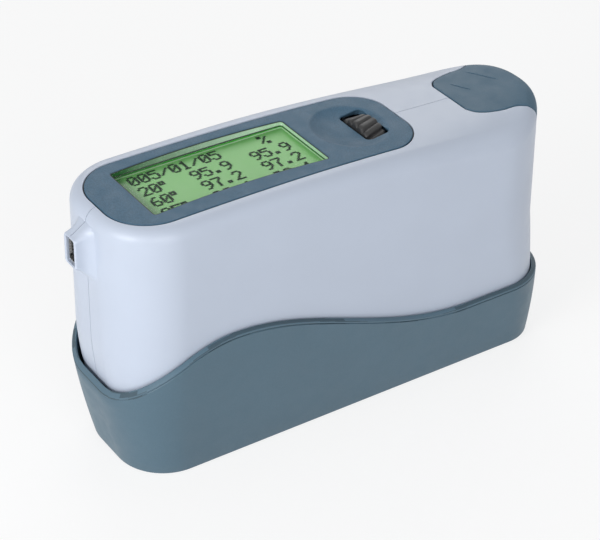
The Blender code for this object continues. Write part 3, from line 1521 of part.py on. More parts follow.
def make_materials():
    """Colours in linear light."""
    material("guide", (1.0, 0.5, 0.1), 0.5)
    return {
        "housing": material("pale_housing", (0.55, 0.62, 0.72), 0.35),
        "panel": material("slate_panel", (0.12, 0.18, 0.23), 0.5),
        "button": material("slate_button", (0.10, 0.15, 0.19), 0.5),
        "holder": material("slate_holder", (0.11, 0.17, 0.21), 0.45),
        "window": material("clear_window", (0.9, 0.95, 0.92), 0.08, 0.0, 0.3),
        "lcd": material("green_display", (0.22, 0.50, 0.18), 0.25),
        "backlight": material("green_backlight", (0.35, 0.75, 0.25), 0.4),
        "dark": material("black_plastic", (0.02, 0.022, 0.025), 0.5),
        "wheel": material("wheel_rubber", (0.015, 0.016, 0.018), 0.55),
        "board": material("green_board", (0.03, 0.16, 0.07), 0.45),
        "steel": material("bright_steel", (0.60, 0.60, 0.60), 0.3, 1.0),
        "brass": material("spring_brass", (0.70, 0.55, 0.30), 0.3, 1.0),
        "base": material("base_metal", (0.35, 0.37, 0.40), 0.4, 1.0),
        "tile": material("black_glass", (0.005, 0.005, 0.006), 0.03),
        "lens": material("lens_glass", (0.9, 0.95, 1.0), 0.03, 0.0, 0.35),
        "mirror": material("mirror_glass", (0.85, 0.87, 0.88), 0.03, 1.0),
        "cell": material("cell_wrap", (0.08, 0.09, 0.10), 0.3),
        "chip": material("chip_case", (0.02, 0.02, 0.02), 0.5),
        "lamp": material("lamp_holder", (0.20, 0.21, 0.22), 0.4),
        "sensor": material("sensor_holder", (0.05, 0.05, 0.06), 0.4),
    }


def main():
    clear_scene()
    finish = make_materials()

    holder = holder_shell(finish["holder"])
    tile_cradle(finish["dark"])
    calibration_tile(finish["tile"])
    cradle_screws(finish["steel"])

    meter = pivot("meter_lift", (0, 0, METER_BOTTOM))
    shapes = housing_shapes()
    pieces = [
        housing("front_housing", -1, shapes, finish["housing"]),
        housing("rear_housing", 1, shapes, finish["housing"]),
        *housing_screws(finish["steel"]),
        top_panel(finish["panel"]),
        display_window(finish["window"]),
        *display_pieces(finish["lcd"], finish["backlight"], finish["dark"], finish["board"]),
        *display_screws(finish["steel"]),
        chassis(finish["dark"]),
        wheel_board(finish["board"]),
        key_switch("click_switch", click_switch_place(), click_switch_height(), finish["dark"]),
        button_guide(finish["dark"]),
        return_spring(finish["steel"]),
        key_switch("measure_switch", (stem_x(), 0, guide_top() + GAP), SWITCH_HEIGHT, finish["dark"]),
        *data_socket(finish["steel"], finish["board"]),
        optics_block(finish["dark"]),
        *optics(finish["lamp"], finish["sensor"], finish["lens"], finish["mirror"]),
        main_board(finish["board"]),
        *board_screws(finish["steel"]),
        *battery_pieces(finish["dark"], finish["cell"], finish["brass"]),
        battery_cover(finish["base"]),
        base_plate(finish["base"]),
        *base_screws(finish["steel"]),
    ]
    carry(meter, *pieces)

    button_axis = pivot("button_press", (stem_x(), 0, crown_height(stem_x())))
    carry(button_axis, operate_button(finish["button"]))
    wheel_press = pivot("wheel_press", (WHEEL_X, 0, fork_bottom()))
    carry(wheel_press, wheel_fork(finish["dark"]), encoder(finish["chip"]))
    wheel_turn = pivot("wheel_turn", (WHEEL_X, 0, wheel_axis()))
    carry(wheel_turn, jog_wheel(finish["wheel"]), wheel_axle(finish["steel"]))
    carry(wheel_press, wheel_turn)
    carry(meter, button_axis, wheel_press)
    carry(holder, meter)


main()
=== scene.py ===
# %% [markdown]
# # A gloss meter standing in its holder
# The object is a small hand-held meter that shines light on a surface and reads how much of it comes back.
# It stands in a dark holder with a wavy rim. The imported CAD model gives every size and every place. The cells
# below load it, rebuild the pieces that show as finer meshes from the same curves, and give each one its finish.

import math
import re

import bmesh
import bpy
from mathutils import Matrix, Vector


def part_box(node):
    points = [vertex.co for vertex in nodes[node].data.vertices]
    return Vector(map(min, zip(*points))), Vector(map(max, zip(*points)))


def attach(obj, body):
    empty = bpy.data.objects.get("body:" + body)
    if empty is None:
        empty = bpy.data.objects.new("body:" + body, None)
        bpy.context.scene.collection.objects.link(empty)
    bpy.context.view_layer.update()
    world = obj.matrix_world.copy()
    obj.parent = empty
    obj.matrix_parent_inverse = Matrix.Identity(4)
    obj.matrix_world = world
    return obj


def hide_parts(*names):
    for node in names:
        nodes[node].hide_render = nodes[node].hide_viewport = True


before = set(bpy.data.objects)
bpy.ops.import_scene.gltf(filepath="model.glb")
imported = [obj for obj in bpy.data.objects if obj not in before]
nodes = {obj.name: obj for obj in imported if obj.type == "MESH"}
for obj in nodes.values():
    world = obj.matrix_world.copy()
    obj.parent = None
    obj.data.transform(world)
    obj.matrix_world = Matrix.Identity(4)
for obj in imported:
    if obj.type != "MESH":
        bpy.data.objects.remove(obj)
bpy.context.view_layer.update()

# %% [markdown]
# ## The camera
# A long lens from far off keeps the edges of the meter nearly parallel. The camera looks at a point inside the
# meter from the left front and from above, and it is rolled by about one degree.

# %% Camera
AZIMUTH = math.radians(33.942)
ELEVATION = math.radians(33.829)
ROLL = math.radians(0.9337)
TARGET = Vector((-0.00344, 0.0, 0.041477))
DISTANCE = 0.64673

flat = math.cos(ELEVATION)
back = Vector((-math.sin(AZIMUTH) * flat, -math.cos(AZIMUTH) * flat, math.sin(ELEVATION)))
level = Vector((math.cos(AZIMUTH), -math.sin(AZIMUTH), 0.0))
upward = back.cross(level)
right_hand = math.cos(ROLL) * level + math.sin(ROLL) * upward
head = -math.sin(ROLL) * level + math.cos(ROLL) * upward
lens = bpy.data.cameras.new("camera")
lens.lens = 124.51
lens.sensor_width = 36.0
lens.sensor_fit = "HORIZONTAL"
lens.clip_start = 0.01
camera = bpy.data.objects.new("camera", lens)
place = TARGET + DISTANCE * back
camera.matrix_world = Matrix([(right_hand[i], head[i], back[i], place[i]) for i in range(3)] + [(0, 0, 0, 1)])
bpy.context.scene.collection.objects.link(camera)
bpy.context.scene.camera = camera
print("camera at", [round(v, 3) for v in place])

# %% [markdown]
# ## The form of the body
# The meter and the holder share one plan form: a box with round corners whose sides and ends draw in towards
# the floor. A ring round that form can be written for any height. A ring takes its points from the two corner arcs
# and the long side of the near half, and the far half is its mirror image.

# %% Plan form
LEFT_REACH = 0.0772
RIGHT_REACH = 0.0799
BODY_WIDTH = 0.048
RIGHT_DRAFT, DRAFT_TOP = 0.010, 0.083
LEFT_TUCK, RIGHT_TUCK, SIDE_TUCK = (0.0074, 0.045), (0.0034, 0.025), (0.0043, 0.046)
CORNER_STEPS = 20


def tuck(z, depth, top):
    """How far a wall draws in at one height."""
    return depth * max(0.0, (top - z) / top) ** 1.5


def form_limits(z, play=0.0):
    """Left end, right end and half width at one height."""
    left = -LEFT_REACH + tuck(z, *LEFT_TUCK) - play
    right = RIGHT_REACH + RIGHT_DRAFT * (DRAFT_TOP - z) - tuck(z, *RIGHT_TUCK)
    return left, right, BODY_WIDTH / 2 - tuck(z, *SIDE_TUCK)


def form_point(station, z, grow=0.0, play=0.0):
    """A point of the form, moved outwards by grow."""
    kind, value = station
    left, right, half = form_limits(z, play)
    share = min(1.0, z / 0.048)
    turn_left = min(0.014 + 0.0055 * share, 0.98 * half)
    turn_right = min(0.011 + 0.0122 * share, 0.98 * half)
    start = left + turn_left
    end = right - turn_right
    if kind == "side":
        return Vector((start + (end - start) * value, -half - grow, z))
    centre, radius = (start, turn_left) if kind == "left" else (end, turn_right)
    reach = radius + grow
    return Vector((centre + reach * math.cos(value), radius - half + reach * math.sin(value), z))


def form_stations(corner_steps, side_steps):
    """Places along the near half, from the left end round to the right end."""
    turn = math.pi / 2
    left = [("left", 2 * turn + turn * i / corner_steps) for i in range(corner_steps + 1)]
    side = [("side", i / side_steps) for i in range(1, side_steps)]
    right = [("right", 3 * turn + turn * i / corner_steps) for i in range(corner_steps + 1)]
    return left + side + right


def mirrored(near):
    """A closed ring from its near half."""
    return near + [Vector((p.x, -p.y, p.z)) for p in reversed(near)]


for z in (0.0, 0.06):
    print("at", round(1000 * z), "mm: left, right and half width in mm", [round(1000 * v, 2) for v in form_limits(z)])

# %% [markdown]
# The top of the meter isn't flat. It is a long crown along X, its right end lifts into a nose under the button,
# and the shoulders beside the nose fall away. One function gives its height, so the panel, the button and the
# housing can all follow the same surface and stay flush.

# %% Crown and rings
CROWN_TOP = 0.0887
CREST_X, SHOULDER_X = -0.0362, -0.0216
NOSE_START, NOSE_LENGTH = 0.3755 * RIGHT_REACH, 0.6245 * RIGHT_REACH


def crown_height(x, y=0.0):
    """Height of the top surface."""
    nose = max(0.0, (x - NOSE_START) / NOSE_LENGTH)
    shoulder = max(0.0, (x - SHOULDER_X) / (RIGHT_REACH - SHOULDER_X))
    drop = 0.00184 * ((x - CREST_X) / LEFT_REACH) ** 2
    fall = 0.0074 * shoulder**1.74 * (2 * abs(y) / BODY_WIDTH) ** 4
    return CROWN_TOP - drop + 0.0031 * nose**3 - fall


def form_ring(height, grow=0.0, play=0.0, corner_steps=CORNER_STEPS, side_steps=36):
    """A ring round the form. Height is a number or a function of the place."""
    near = []
    for station in form_stations(corner_steps, side_steps):
        z = height(form_point(station, CROWN_TOP, grow)) if callable(height) else height
        near.append(form_point(station, z, grow, play))
    return mirrored(near)


print("crown in mm at five places:", [round(1000 * crown_height(x), 2) for x in (-0.07, -0.035, 0.0, 0.04, 0.078)])

# %% [markdown]
# ## Turning rings into solids
# A loft joins rings of equal length and closes both ends. A crowned end gets extra points across its width, so
# that the lid follows the crown. Rounded corners are shaded smooth, and edges over 40 degrees stay crisp.

# %% Loft and piece helpers
SHARES = [i / 14 for i in range(1, 14)]
CRISP = math.radians(40.0)


def close_end(bm, row, crown):
    """Closes a ring across its width, flat or over the crown."""
    last = len(row) // 2 - 1
    columns = []
    for i, near in enumerate(row[: last + 1]):
        far = row[-1 - i]
        between = []
        for share in SHARES if crown and 0 < i < last else ():
            spot = near.co.lerp(far.co, share)
            between.append(bm.verts.new((spot.x, spot.y, crown(spot.x, spot.y))))
        columns.append([near, *between, far])
    made = []
    for a, b in zip(columns, columns[1:]):
        if len(a) != len(b):
            made.append(bm.faces.new([*a, *reversed(b)]))
            continue
        for i in range(len(a) - 1):
            made.append(bm.faces.new((a[i], b[i], b[i + 1], a[i + 1])))
    if crown:
        bmesh.ops.triangulate(bm, faces=made)


def skin(bm, rings, closed=False):
    """Makes vertices for rings of equal length and joins each ring to the next with faces."""
    rows = [[bm.verts.new(p) for p in ring] for ring in rings]
    for low, high in zip(rows, rows[1:] + rows[:1] if closed else rows[1:]):
        for i in range(len(low)):
            j = (i + 1) % len(low)
            bm.faces.new((low[i], low[j], high[j], high[i]))
    return rows


def loft(rings, crown=None):
    """A closed mesh through rings that are alike on both sides of the middle."""
    bm = bmesh.new()
    rows = skin(bm, rings)
    close_end(bm, rows[0], None)
    close_end(bm, rows[-1], crown)
    return bm


def mesh_object(name, bm):
    """An object from a bmesh, shaded smooth with crisp edges kept."""
    mesh = bpy.data.meshes.new(name)
    bmesh.ops.recalc_face_normals(bm, faces=bm.faces[:])
    bm.to_mesh(mesh)
    bm.free()
    mesh.shade_smooth()
    mesh.set_sharp_from_angle(angle=CRISP)
    made = bpy.data.objects.new(name, mesh)
    bpy.context.scene.collection.objects.link(made)
    return made


def ring_solid(sections):
    """A closed solid through any rings of points."""
    bm = bmesh.new()
    rows = skin(bm, sections)
    bm.faces.new(rows[0])
    bm.faces.new(rows[-1])
    return bm


def ring_band(rows):
    """A closed band through rings that run round and join again."""
    bm = bmesh.new()
    skin(bm, rows, closed=True)
    return bm


# %% [markdown]
# Openings are cut with the Boolean modifier in its exact mode. A real moulding has no knife edges: where an
# opening meets the outside, the edge is rounded by a fraction of a millimetre, and that edge is what catches the
# light. So each cutter flares out as it nears the surface. The result is turned into plain mesh at once.

# %% Boolean helpers
def shape_with(target, operation, *tools):
    """Applies Boolean steps to the target and removes the tools."""
    for tool in tools:
        step = target.modifiers.new(tool.name, "BOOLEAN")
        step.operation = operation
        step.solver = "EXACT"
        step.object = tool
    view = bpy.context.evaluated_depsgraph_get()
    mesh = bpy.data.meshes.new_from_object(target.evaluated_get(view))
    target.modifiers.clear()
    target.data = mesh
    mesh.shade_smooth()
    mesh.set_sharp_from_angle(angle=CRISP)
    for tool in tools:
        bpy.data.objects.remove(tool)
    return target


def face_weighted(target):
    """Lets large faces decide the shading, so that small edge faces don't darken their neighbours."""
    step = target.modifiers.new("weighted_normals", "WEIGHTED_NORMAL")
    step.keep_sharp = True
    step.weight = 100
    return target


def wear(piece, finish, body, slot, *replaced):
    """Gives a piece its finish and its body and hides the CAD nodes that it stands for. The slot is not used."""
    piece.data.materials.clear()
    piece.data.materials.append(finish)
    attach(piece, body)
    if replaced:
        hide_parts(*replaced)
    print(piece.name, len(piece.data.polygons), "faces on", body)
    return piece


# %% [markdown]
# ## Finishes
# Every finish is made with nodes in the piece's own coordinates, so it looks the same from all sides. Moulded
# plastic has three scales: a very fine grain from the mould, slow changes of gloss where the melt cooled at
# different speeds, and a faint change of tone. Noise textures make all three, and one function serves them all.

# %% Moulded plastic
MM = 1000.0


def node(tree, kind, **inputs):
    """A new shader node with its plain input values."""
    made = tree.nodes.new(kind)
    for name, value in inputs.items():
        made.inputs[name.replace("_", " ")].default_value = value
    return made


def blank_finish(name):
    """A material with its tree, its Principled shader and the piece's own coordinates."""
    made = bpy.data.materials.new(name)
    made.use_nodes = True
    tree = made.node_tree
    shader = tree.nodes["Principled BSDF"]
    return made, tree, shader, tree.nodes.new("ShaderNodeTexCoord").outputs["Object"]


def ramp(tree, value, start, end, low, high):
    """Maps a value between start and end to a value between low and high."""
    made = node(tree, "ShaderNodeMapRange", From_Min=start, From_Max=end, To_Min=low, To_Max=high)
    tree.links.new(value, made.inputs["Value"])
    return made.outputs["Result"]


def spread(tree, value, low, high):
    """Maps a texture's middle range to a low and a high value."""
    return ramp(tree, value, 0.3, 0.7, low, high)


def noise(tree, coordinates, scale, detail=2.0):
    """A noise texture in the piece's own coordinates."""
    made = node(tree, "ShaderNodeTexNoise", Scale=scale, Detail=detail)
    tree.links.new(coordinates, made.inputs["Vector"])
    return made.outputs["Fac"]


def tone(tree, share, dark, light):
    """A colour between two tones, chosen by a share."""
    made = tree.nodes.new("ShaderNodeMix")
    made.data_type = "RGBA"
    tree.links.new(share, made.inputs[0])
    made.inputs[6].default_value = (*dark, 1.0)
    made.inputs[7].default_value = (*light, 1.0)
    return made.outputs[2]


def larger(tree, first, second):
    """The larger of two values."""
    made = tree.nodes.new("ShaderNodeMath")
    made.operation = "MAXIMUM"
    tree.links.new(first, made.inputs[0])
    tree.links.new(second, made.inputs[1])
    return made.outputs[0]


def bump(tree, shader, height, depth):
    """Raises the surface by a texture, to a depth in metres."""
    made = node(tree, "ShaderNodeBump", Strength=1.0, Distance=depth)
    tree.links.new(height, made.inputs["Height"])
    tree.links.new(made.outputs["Normal"], shader.inputs["Normal"])


def moulded(name, colour, gloss, grain_size=0.35, grain_depth=0.000012, variation=0.04, speckle=0.0, shine=0.5):
    """Moulded plastic: colour in linear light, gloss as a pair of roughness values, grain size in mm."""
    made, tree, shader, place = blank_finish(name)
    shader.inputs["Specular IOR Level"].default_value = shine
    slow = noise(tree, place, 0.05 * MM)
    grain = noise(tree, place, MM / grain_size, 3.0)
    dark = [(1 - variation) * c for c in colour]
    light = [(1 + variation) * c for c in colour]
    base = tone(tree, spread(tree, slow, 0.0, 1.0), dark, light)
    if speckle:
        flecks = tree.nodes.new("ShaderNodeMix")
        flecks.data_type = "RGBA"
        flecks.blend_type = "MULTIPLY"
        flecks.inputs[0].default_value = 1.0
        tree.links.new(base, flecks.inputs[6])
        low, high = (1 - speckle,) * 3, (1 + speckle,) * 3
        tree.links.new(tone(tree, spread(tree, grain, 0.0, 1.0), low, high), flecks.inputs[7])
        base = flecks.outputs[2]
    tree.links.new(base, shader.inputs["Base Color"])
    tree.links.new(spread(tree, noise(tree, place, 0.25 * MM), *gloss), shader.inputs["Roughness"])
    bump(tree, shader, grain, grain_depth)
    return made


# %% [markdown]
# The housing is pale and fairly smooth. The panel has the deepest grain, so that it doesn't glare, and the
# holder and the button lie in between. Each pair of numbers in the middle is the range of roughness.

# %% Finishes of the outer pieces
pale_shell = moulded("pale_shell", (0.540, 0.600, 0.712), (0.33, 0.42), 0.5, 0.000006, 0.012)
holder_skin = moulded("holder_skin", (0.082, 0.148, 0.198), (0.40, 0.50), 0.5, 0.000010, 0.03, 0.03)
panel_skin = moulded("panel_skin", (0.064, 0.134, 0.204), (0.50, 0.62), 0.36, 0.000030, 0.02, 0.18, 0.3)
button_skin = moulded("button_skin", (0.068, 0.134, 0.194), (0.52, 0.62), 0.40, 0.000012, 0.02, 0.05, 0.35)
print("finishes:", [made.name for made in (pale_shell, holder_skin, panel_skin, button_skin)])

# %% [markdown]
# ## Housing
# The housing is two shells that meet in a seam along the middle. One smooth body is lofted from rings, rounded
# over its top edge, hollowed, and opened for the panel, the button and the socket. Each half is then the part of
# it on one side of the seam. Cutting both halves from one body keeps them in line.

# %% Smooth body
HOUSING_BOTTOM = 0.019
GAP = 0.0003
SEAM = 0.0002


def quarter(steps):
    """Pairs of 1 - cos and 1 - sin along a quarter turn, for rounded edges."""
    turns = [math.pi / 2 * i / steps for i in range(steps + 1)]
    return [(1 - math.cos(turn), 1 - math.sin(turn)) for turn in turns]


def body_solid(shrink=0.0, levels=12, steps=12, corner_steps=CORNER_STEPS, side_steps=36, bottom=HOUSING_BOTTOM):
    """The meter's body from its bottom up over the rounded top edge."""
    radius = max(0.0043 - shrink, 0.0015)
    extent = (corner_steps, side_steps)
    walls = [bottom + (0.046 - bottom) * i / (levels - 1) for i in range(levels)]
    rings = [form_ring(z, -shrink, 0.0, *extent) for z in walls]
    for c, s in quarter(steps):
        fall = shrink + radius * s
        inwards = shrink + radius * c
        rings.append(form_ring(lambda spot: crown_height(spot.x, spot.y) - fall, -inwards, 0.0, *extent))
    return loft(rings, lambda x, y: crown_height(x, y) - shrink)


def over_crown(half, rise):
    """A closed ring at a height over the crown, from its near half."""
    return mirrored([Vector((x, y, crown_height(x, y) + rise)) for x, y in half])


def at_height(half, z):
    """A closed ring at one height, from its near half."""
    return mirrored([Vector((x, y, z)) for x, y in half])


def crown_loft(levels):
    """A solid through pairs of a near half outline and a height over the crown."""
    return loft([over_crown(half, rise) for half, rise in levels])


def rounded_levels(outline, low, edge, side, reach):
    """Levels of a tool whose outline turns outwards (side -1) or inwards (side 1) near the surface."""
    turned = [(outline(side * edge * c), -edge * s) for c, s in quarter(4)]
    return [(outline(0.0), low), *turned, (outline(side * reach * edge), 0.004)]


def opening_levels(outline, low):
    """A cutter that flares out near the surface, so that the opening gets a rounded edge."""
    return rounded_levels(outline, low, 0.0003, -1, 1.6)


def plug_levels(outline, low, edge=0.0003):
    """A keeper that draws in near the surface, so that the piece gets a rounded edge."""
    return rounded_levels(outline, low, edge, 1, 1.3)


# %% [markdown]
# Seen from above, the panel is a long shape with round corners, and the button is a curve that widens to the
# right. The same outline, moved in by a fraction of a millimetre, serves for a piece and for its opening, which
# is how the even gap between them comes about.

# %% Outlines of the panel and the button
PANEL_LEFT = 0.0037 - LEFT_REACH
PANEL_RIGHT = 0.0308
BUTTON_LEFT = 0.6445 * RIGHT_REACH
BUTTON_LOW = 0.0812


def near_half(ends, halves, radii, arc_steps=18, side_steps=30):
    """Near half of an outline with round corners."""
    left, right = ends
    radius_left, radius_right = radii
    points = []
    for i in range(arc_steps + 1):
        a = math.pi + math.pi / 2 * i / arc_steps
        points.append((left + radius_left * (1 + math.cos(a)), radius_left * (1 + math.sin(a)) - halves[0]))
    start, end = left + radius_left, right - radius_right
    for i in range(1, side_steps):
        f = i / side_steps
        points.append((start + (end - start) * f, -halves[0] - (halves[1] - halves[0]) * f))
    for i in range(arc_steps + 1):
        a = 1.5 * math.pi + math.pi / 2 * i / arc_steps
        points.append((end + radius_right * math.cos(a), radius_right * (1 + math.sin(a)) - halves[1]))
    return points


def panel_half(inset=0.0):
    """Near half of the panel's outline."""
    return near_half(
        (PANEL_LEFT + inset, PANEL_RIGHT - inset), (0.0188 - inset, 0.0180 - inset), (0.0145 - inset, 0.012 - inset)
    )


def spline(p, q, r, s, t):
    """One coordinate on a smooth curve between q and r."""
    square = 2 * p - 5 * q + 4 * r - s
    cube = 3 * q - p - 3 * r + s
    return q + 0.5 * ((r - p) * t + square * t**2 + cube * t**3)


def smooth_chain(corners, steps):
    """A smooth open curve through plan points."""
    padded = [corners[0], *corners, corners[-1]]
    points = []
    for spans in zip(padded, padded[1:], padded[2:], padded[3:]):
        for i in range(steps):
            points.append(tuple(spline(*values, i / steps) for values in zip(*spans)))
    points.append(tuple(corners[-1]))
    return points


def button_half(inset=0.0, steps=8):
    """Near half of the button's outline: straight left edge, round corner, long side and flared end."""
    right = form_limits(BUTTON_LOW)[1]
    left = BUTTON_LEFT
    corners = [
        (left, -0.0085),
        (left + 0.00182, -0.01135),
        (left + 0.0052, -0.013064),
        (left + 0.01035, -0.0142),
        (left + 0.0155, -0.014484),
        ((left + 0.0155 + right) / 2 - 0.002, -0.016467),
        (right - 0.004, -0.0176),
        (right + 0.004, -0.0176),
    ]
    return [(x + inset, y + inset) for x, y in smooth_chain(corners, steps)]


print(len(panel_half()), "points on the panel's near half,", len(button_half()), "on the button's")

# %% [markdown]
# The left end carries a small wedge-shaped collar with the data socket in it. Both halves of the housing share
# it, because the seam runs through it. The screws go in from the far half, each in a round well.

# %% Collar, socket opening and screw wells
COLLAR_FACE = -LEFT_REACH - 0.0054
SOCKET_CENTRE = (0.0711 + 0.0812) / 2
SCREW_HEAD = 0.0016


def rounded_box(x, y, length, width, radius, steps=6):
    """Outline of a rectangle with rounded corners."""
    r = min(radius, 0.49 * length, 0.49 * width)
    points = []
    for quarter, (sx, sy) in enumerate(((1, 1), (-1, 1), (-1, -1), (1, -1))):
        for i in range(steps + 1):
            a = math.pi / 2 * (quarter + i / steps)
            cx, cy = x + sx * (length / 2 - r), y + sy * (width / 2 - r)
            points.append((cx + r * math.cos(a), cy + r * math.sin(a)))
    return points


def across_x(levels):
    """A solid through YZ outlines at places along X."""
    return ring_solid([[(x, y, z) for y, z in outline] for x, outline in levels])


def collar():
    """The wedge round the socket, with a rounded front edge."""
    levels = []
    edge = 0.0005
    for c, s in quarter(3):
        inset = edge * s
        x = COLLAR_FACE + edge * c
        levels.append((x, rounded_box(0.0, SOCKET_CENTRE, 0.0068 - 2 * inset, 0.0101 - 2 * inset, 0.0010)))
    for i in range(1, 11):
        t = i / 10
        x = COLLAR_FACE + edge + (0.0075 - edge) * t
        half = 0.0034 + 0.0060 * t**3
        low, high = 0.0711 - 0.0085 * t**1.2, 0.0812 + 0.0048 * t**1.1
        levels.append((x, rounded_box(0.0, (low + high) / 2, 2 * half, high - low, 0.0010 + 0.0030 * t)))
    return across_x(levels)


def socket_opening():
    """The opening for the data socket, flared at its mouth."""
    mouth = rounded_box(0.0, SOCKET_CENTRE, 0.0049, 0.0087, 0.0006)
    flared = rounded_box(0.0, SOCKET_CENTRE, 0.0055, 0.0093, 0.0009)
    levels = [(COLLAR_FACE - 0.004, flared), (COLLAR_FACE, flared), (COLLAR_FACE + 0.0003, mouth)]
    return across_x(levels + [(0.0044 - LEFT_REACH, mouth)])


def screw_rod(node_name, levels):
    """A turned solid along a housing screw, from pairs of a distance from the head's seat and a radius."""
    low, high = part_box(node_name)
    middle = (low + high) / 2
    seat = high.y - SCREW_HEAD - GAP
    turns = [2 * math.pi * i / 40 for i in range(40)]
    sections = []
    for along, radius in levels:
        y = seat + along
        sections.append([(middle.x + radius * math.cos(a), y, middle.z + radius * math.sin(a)) for a in turns])
    return ring_solid(sections)


POST = ((-0.0020, 0.0036), (0.0012, 0.0036))
WELL = ((-0.0030, 0.0017), (0.0, 0.0017), (0.00001, 0.0028), (0.0120, 0.0028))
print("collar face at", round(1000 * COLLAR_FACE, 2), "mm, socket centre at", round(1000 * SOCKET_CENTRE, 2), "mm")

# %% [markdown]
# Now the steps come together. The collar is joined to the body, the tools cut the hollow and the openings, and a
# box on each side of the seam keeps one half. The far half gets a post and a well for every screw.

# %% Cut the housing and split it along the seam
shell = mesh_object("shell", body_solid())
shape_with(shell, "UNION", mesh_object("collar", collar()))
cavity = body_solid(0.0022, 4, 3, 6, 8, HOUSING_BOTTOM - 0.0005)
panel_seat = crown_loft(opening_levels(panel_half, -0.0015))
panel_through = crown_loft([(panel_half(0.002), -0.008), (panel_half(0.002), 0.004)])
button_room = [at_height(button_half(), BUTTON_LOW - 0.0009)]
button_room += [over_crown(*level) for level in opening_levels(button_half, -0.0015)[1:]]
tools = [cavity, panel_seat, panel_through, loft(button_room), socket_opening()]
shape_with(shell, "DIFFERENCE", *[mesh_object(f"tool_{i}", bm) for i, bm in enumerate(tools)])
print("shell", len(shell.data.polygons), "faces")

halves = {}
for side, name in ((-1, "front_shell"), (1, "rear_shell")):
    half = shell.copy()
    half.data = shell.data.copy()
    half.name = name
    bpy.context.scene.collection.objects.link(half)
    middle = side * (BODY_WIDTH + SEAM) / 2
    outline = rounded_box(0.0, middle, 0.32, BODY_WIDTH, 0.0001, 1)
    keeper = mesh_object("keeper", ring_solid([[(x, y, z) for x, y in outline] for z in (0.0, 0.2)]))
    halves[side] = shape_with(half, "INTERSECT", keeper)
bpy.data.objects.remove(shell)
names = [f"housing_screw_{i}" for i in range(1, 5)]
shape_with(halves[1], "UNION", *[mesh_object(f"post_{name}", screw_rod(name, POST)) for name in names])
shape_with(halves[1], "DIFFERENCE", *[mesh_object(f"well_{name}", screw_rod(name, WELL)) for name in names])
wear(face_weighted(halves[-1]), pale_shell, "meter", "pale_housing", "front_housing")
wear(face_weighted(halves[1]), pale_shell, "meter", "pale_housing", "rear_housing")

# %% [markdown]
# ## Top panel
# The dark inlay carries the window and the wheel. Round the wheel it sinks into a scoop for the fingertip, steep
# at the left and running out to nothing at the right. A scoop with such soft edges is easiest as a field of
# heights: a fine grid over the panel, lowered by a smooth function. The outline, the window and the slot are cut
# from it afterwards.

# %% Scoop
SCOOP_X = 0.0152
SCOOP_HALF_X = 0.0134
SCOOP_HALF_Y = 0.0140
SCOOP_BOWL, SCOOP_RISE, SCOOP_SOFT = 0.0026, 0.00092, 0.00014
SLAB_DEPTH = 0.0028


def scoop_depth(x, y):
    """Depth of the scoop, a bowl whose floor rises to the right."""
    u = (x - SCOOP_X) / SCOOP_HALF_X
    v = y / SCOOP_HALF_Y
    r2 = u * u + v * v
    if r2 >= 1.15:
        return 0.0
    depth = SCOOP_BOWL * (1.0 - r2 * r2) - SCOOP_RISE * (1.0 + u)
    return max(0.0, 0.5 * (depth + math.sqrt(depth * depth + SCOOP_SOFT * SCOOP_SOFT)) - 0.00002)


def spaced(low, high, step):
    """Even places from low up to, but without, high."""
    count = max(1, round((high - low) / step))
    return [low + (high - low) * i / count for i in range(count)]


def border(grid):
    """The points round the edge of a grid, in order."""
    far = [row[-1] for row in reversed(grid[:-1])]
    return [row[0] for row in grid] + grid[-1][1:] + far + grid[0][-2:0:-1]


def panel_slab():
    """A closed slab whose top follows the crown and the scoop. Its grid is finest over the scoop."""
    xs = spaced(PANEL_LEFT - 0.001, 0.001, 0.0012) + spaced(0.001, 0.0295, 0.0004)
    xs += spaced(0.0295, 0.0320, 0.0008) + [0.0320]
    ys = spaced(-0.0195, -0.0145, 0.0010) + spaced(-0.0145, 0.0145, 0.0004)
    ys += spaced(0.0145, 0.0195, 0.0010) + [0.0195]
    bm = bmesh.new()
    top = [[bm.verts.new((x, y, crown_height(x, y) - scoop_depth(x, y))) for y in ys] for x in xs]
    low = [[bm.verts.new((x, y, crown_height(x, y) - SLAB_DEPTH)) for y in ys] for x in xs]
    for grid in (top, low):
        for a, b in zip(grid, grid[1:]):
            for i in range(len(ys) - 1):
                bm.faces.new((a[i], b[i], b[i + 1], a[i + 1]))
    rim_top, rim_low = border(top), border(low)
    for i in range(len(rim_top)):
        j = (i + 1) % len(rim_top)
        bm.faces.new((rim_top[i], rim_top[j], rim_low[j], rim_low[i]))
    return bm


print("scoop at its middle:", round(1000 * scoop_depth(SCOOP_X, 0.0), 2), "mm deep")

# %% [markdown]
# The window's opening has a rounded edge, and its far edge bows out a little above a straight foot. The slot for
# the wheel follows the floor of the scoop, and the panel is thinned under it, so that only a lip shows.

# %% Window and slot openings
WINDOW_X = -0.0321
WINDOW_LENGTH = 0.0599
WINDOW_WIDTH = 0.0266
WHEEL_X = 0.0195
SLOT_X = 0.0192
ARCH = 0.0012


def window_half(inset=0.0):
    """Near half of the window's outline."""
    half = WINDOW_WIDTH / 2 - inset
    radius = max(0.0012 - inset, 0.0002)
    ends = (WINDOW_X - WINDOW_LENGTH / 2 + inset, WINDOW_X + WINDOW_LENGTH / 2 - inset)
    return near_half(ends, (half, half), (radius, radius), 6, 24)


def window_ring(inset, drop):
    """The window's outline at a depth below the crown. Its upper edge bows away from the straight foot."""
    share = min(1.0, max(0.0, (0.0017 - drop) / 0.0014))
    ring = []
    for p in mirrored([Vector((x, y, 0.0)) for x, y in window_half(inset)]):
        bow = ARCH * share * max(0.0, 1 - ((p.x - WINDOW_X) / (WINDOW_LENGTH / 2)) ** 2)
        ring.append(Vector((p.x, p.y + bow, crown_height(p.x, p.y) - drop)))
    return ring


